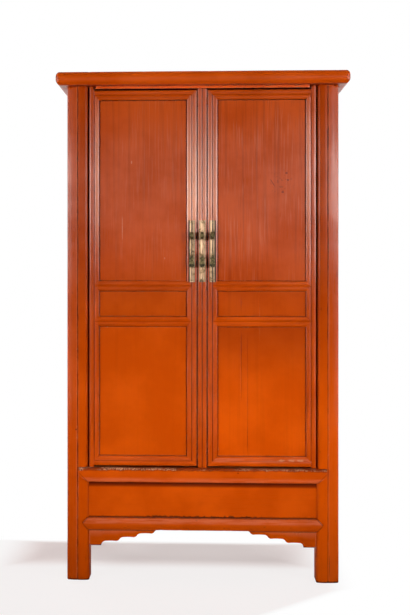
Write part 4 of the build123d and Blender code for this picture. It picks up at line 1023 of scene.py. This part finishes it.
def nail_tree():
    tree = bpy.data.node_groups.new("nails", "GeometryNodeTree")
    sockets = (("Holes", "NodeSocketGeometry", None), ("Radius", "NodeSocketFloat", NAIL_RADIUS),
               ("Rise", "NodeSocketFloat", NAIL_RISE), ("Seed", "NodeSocketInt", 11),
               ("Material", "NodeSocketMaterial", None))
    for name, kind, value in sockets:
        socket = tree.interface.new_socket(name=name, in_out="INPUT", socket_type=kind)
        if value is not None:
            socket.default_value = value
    tree.interface.new_socket(name="Nails", in_out="OUTPUT", socket_type="NodeSocketGeometry")

    def node(kind, inputs=None, **settings):
        return add_node(tree, kind, inputs, **settings).outputs

    given = node("NodeGroupInput")
    ball = node("GeometryNodeMeshUVSphere", {"Segments": 20, "Rings": 10, "Radius": given["Radius"]})
    squash = node("ShaderNodeMath", {0: given["Rise"], 1: given["Radius"]}, operation="DIVIDE")
    shape = node("ShaderNodeCombineXYZ", {0: 1.0, 1: squash[0], 2: 1.0})
    head = node("GeometryNodeTransform", {"Geometry": ball["Mesh"], "Scale": shape[0]})
    angle = node("FunctionNodeRandomValue", {2: 0.0, 3: 6.28, "Seed": given["Seed"]}, data_type="FLOAT")
    turn = node("ShaderNodeCombineXYZ", {0: 0.0, 1: angle[1], 2: 0.0})
    size = node("FunctionNodeRandomValue", {2: 0.92, 3: 1.0, "Seed": given["Seed"]}, data_type="FLOAT")
    placed = node("GeometryNodeInstanceOnPoints", {"Points": given["Holes"], "Instance": head[0],
                                                   "Rotation": turn[0], "Scale": size[1]})
    real = node("GeometryNodeRealizeInstances", {"Geometry": placed[0]})
    smooth = node("GeometryNodeSetShadeSmooth", {0: real[0]})
    coated = node("GeometryNodeSetMaterial", {"Geometry": smooth[0], "Material": given["Material"]})
    node("NodeGroupOutput", {0: coated[0]})
    return tree


# %% Nails on each plate
NAILS = nail_tree()
IDENTIFIER = {item.name: item.identifier for item in NAILS.interface.items_tree}


def drive_nails(side, places):
    holes = bpy.data.meshes.new(side + "_nail_holes")
    holes.from_pydata([place + Vector((0, NAIL_RISE, 0)) for place in places], [], [])
    piece = new_object(side + "_nails", holes)
    modifier = piece.modifiers.new("nails", "NODES")
    modifier.node_group = NAILS
    modifier[IDENTIFIER["Rise"]] = NAIL_RISE
    modifier[IDENTIFIER["Material"]] = FITTING
    depsgraph = bpy.context.evaluated_depsgraph_get()
    made = bpy.data.meshes.new_from_object(piece.evaluated_get(depsgraph))
    piece.modifiers.clear()
    made.name = side + "_nails"
    piece.data = made
    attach(piece, BODY[side + "_fixings"])
    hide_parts(side + "_fixings")
    pieces.append(piece)
    print(piece.name, [round(v, 4) for v in piece.dimensions], len(made.polygons), "faces")


for side, places in nail_places.items():
    drive_nails(side, places)

# %% [markdown]
# ## Inner woodwork
# The boards behind the doors, the drawer frame and the back are seen only in shade. They keep the
# joiner's own meshes, with crisp saw-cut edges, and only get their wood: ageing them would cost
# thousands of triangles that nobody looks at.

# %% Bare wood on the inner pieces
BARE_GRAIN = {"top_battens": "deep", "rear_frame": "framed", "rear_panels": "upright",
              "storage_floor": "across", "floor_bearer": "deep", "shelf_board": "across",
              "left_floor_board": "across", "right_floor_board": "across",
              "left_drawer_box": "deep", "right_drawer_box": "deep", "drawer_frame": "across"}
for node, grain in BARE_GRAIN.items():
    data = frame["nodes"][node].data
    data.materials.clear()
    data.materials.append(BARE[grain])
print("unlacquered nodes:", len(BARE_GRAIN))

# %% [markdown]
# ## Studio
# A product photographer sweeps white paper under and behind the piece and lights it from both
# sides. The floor here is a flat disc. A disc that simply ends would show its rim, so its material
# fades from matt paper, which takes the soft shadow, to a plain white glow for the camera alone;
# the world is the same white. Lights and reflections never see that glow, so the cabinet isn't
# lit by its own background.

# %% Floor
FLOOR_RADIUS = 3.0              # m
floor_mesh = bpy.data.meshes.new("floor")
bm = bmesh.new()
bmesh.ops.create_circle(bm, cap_ends=True, segments=96, radius=FLOOR_RADIUS)
bm.to_mesh(floor_mesh)
bm.free()
floor = new_object("floor", floor_mesh)
print("floor radius:", FLOOR_RADIUS, "m")

# %% [markdown]
# The glow sets in where the shadow has to end: behind the cabinet, on its right, and towards the
# rim. In front and on the far left it covers most of the paper too, a painted light that keeps the
# shadow faint. `haze` is how far it has taken over at a place, `share` what a ray really meets there.

# %% Paper that turns into light
f = Finish("studio_floor")
x, y, _ = f.axes()
behind = f.ramp(y, 0.17, 0.28)
reach = f.add("ShaderNodeVectorMath", {0: f.place}, operation="LENGTH").outputs["Value"]
path = f.add("ShaderNodeLightPath").outputs
by_eye = path["Is Camera Ray"]
seen = f.most(by_eye, path["Is Glossy Ray"])
seen = f.most(seen, path["Is Transmission Ray"])
haze = f.most(f.ramp(y, -0.11, 0.05, 0.84, 0.50), f.ramp(x, 0.25, 0.58, 0.50, 1.0))
aslant = f.minus(x, f.times(f.plus(y, 0.3), 1.1))
haze = f.most(haze, f.times(f.ramp(aslant, 0.3, 0.56), f.ramp(y, -0.3, -0.2, 1.0, 0.0)))
haze = f.most(haze, f.ramp(x, -0.85, -0.40, 0.9, 0.0))
haze = f.most(haze, f.ramp(reach, 1.1, 2.6, 0.52, 1.0))
share = f.most(f.times(behind, seen), f.times(by_eye, haze))
WHITE = (1.0, 1.0, 1.0, 1.0)
paper = f.mix(by_eye, paint(150, 148, 146), paint(250, 248, 247))
matt = f.add("ShaderNodeBsdfDiffuse", {"Color": paper})
# Where the glow only partly covers the paper it is tinted pink: a painted reflection of the red lacquer
# on the floor near the cabinet.
painted_bounce = f.mix(f.ramp(share, 0.5, 1.0), (1.0, 0.88, 0.86, 1.0), WHITE)
white = f.add("ShaderNodeEmission", {"Color": painted_bounce, "Strength": 1.0})
blend = f.add("ShaderNodeMixShader", {0: share, 1: matt.outputs[0], 2: white.outputs[0]})
f.add("ShaderNodeOutputMaterial", {"Surface": blend.outputs[0]})
floor_mesh.materials.append(f.material)
print("floor material:", len(f.tree.nodes), "nodes")

# %% [markdown]
# The world is white for the camera and through glass. Mirroring surfaces see it only towards the
# back, so that the front doesn't go milky, and matt ones get a faint even light from it.

# %% World
world = bpy.data.worlds.new("studio")
bpy.context.scene.world = world
world.use_nodes = True
world.node_tree.nodes.clear()
AMBIENT = 0.12                  # its strength for matt surfaces


def sky_node(kind, inputs=None, **settings):
    return add_node(world.node_tree, kind, inputs, **settings).outputs


def sky_math(how, first, second):
    return sky_node("ShaderNodeMath", {0: first, 1: second}, operation=how)[0]


path = sky_node("ShaderNodeLightPath")
ahead = sky_node("ShaderNodeSeparateXYZ", {0: sky_node("ShaderNodeTexCoord")["Generated"]})["Y"]
room = sky_node("ShaderNodeMapRange", {"Value": ahead, "From Min": -0.2, "From Max": 0.5})[0]
glossy = sky_math("MULTIPLY", path["Is Glossy Ray"], room)
seen = sky_math("MAXIMUM", path["Is Camera Ray"], path["Is Transmission Ray"])
seen = sky_math("MAXIMUM", seen, glossy)
strength = sky_math("MAXIMUM", seen, sky_math("MULTIPLY", path["Is Diffuse Ray"], AMBIENT))
sky = sky_node("ShaderNodeBackground", {"Color": WHITE, "Strength": strength})
sky_node("ShaderNodeOutputWorld", {"Surface": sky[0]})
print("world:", len(world.node_tree.nodes), "nodes")

# %% [markdown]
# ### Lamps with one task each
# Lacquer is half mirror: a lamp that lights it well may also lay a grey veil over it. Blender can
# switch a lamp's diffuse and glossy share apart, so most lamps get one task. The softboxes light the
# colour, and so do the low fills and the two rear lamps, which don't shine: a rear lamp that did
# would turn the top white. The glows, scrims, brows and the strip only shine: each stands where one
# kind of surface mirrors it (flat panels, the rounded reeds, the outer lobes of the posts). A narrow
# `spread` works like a honeycomb grid on a softbox and keeps the light near its axis.


# %% Lamps
def soft_lamp(name, place, target, size, power, shines=True, lights=True, spread=180):
    data = bpy.data.lights.new(name, "AREA")
    data.shape = "RECTANGLE"
    data.size, data.size_y = size
    data.energy = power
    data.spread = math.radians(spread)
    lamp = new_object(name, data)
    lamp.location = place
    lamp.visible_glossy = shines
    lamp.visible_diffuse = lights
    lamp.rotation_euler = (Vector(target) - Vector(place)).to_track_quat("-Z", "Y").to_euler()


for way, side, power in ((-1, "left", 15), (1, "right", 17)):
    place = (way * 3.1, -2.2, 1.8)
    soft_lamp(side + "_softbox", place, (0, 0, 2.0), (1.5, 1.2), power, spread=80)
    soft_lamp(side + "_glow", place, (0, 0, 2.0), (1.5, 1.2), 13, lights=False, spread=60)
    soft_lamp(side + "_low", (way * 2.3, -2.5, 0.5), (0, 0, 0.5), (0.8, 0.5), 2.2,
              shines=False, spread=35)
    soft_lamp(side + "_scrim", (way * 0.62, -2.9, 1.6), (way * 0.35, 0, 1.4), (0.5, 0.45), 3.4,
              lights=False)
soft_lamp("front_strip", (0, -4.3, 1.75), (0, 0, 1.4), (0.22, 0.75), 3, lights=False)
soft_lamp("left_brow", (-2.0, -3.9, 2.0), (0, 0, 1.6), (0.7, 0.8), 8, lights=False)
soft_lamp("right_brow", (2.0, -3.9, 2.0), (0, 0, 1.6), (0.7, 0.8), 38, lights=False)
soft_lamp("rear_left", (-2.5, 3.0, 2.2), (0, 0, 0.9), (1.5, 1.5), 30, shines=False)
soft_lamp("rear_right", (2.5, 3.0, 2.2), (0, 0, 0.9), (1.5, 1.5), 30, shines=False)
bpy.context.scene.view_settings.view_transform = "Standard"
print("lamps:", {lamp.name: lamp.energy for lamp in bpy.data.lights})
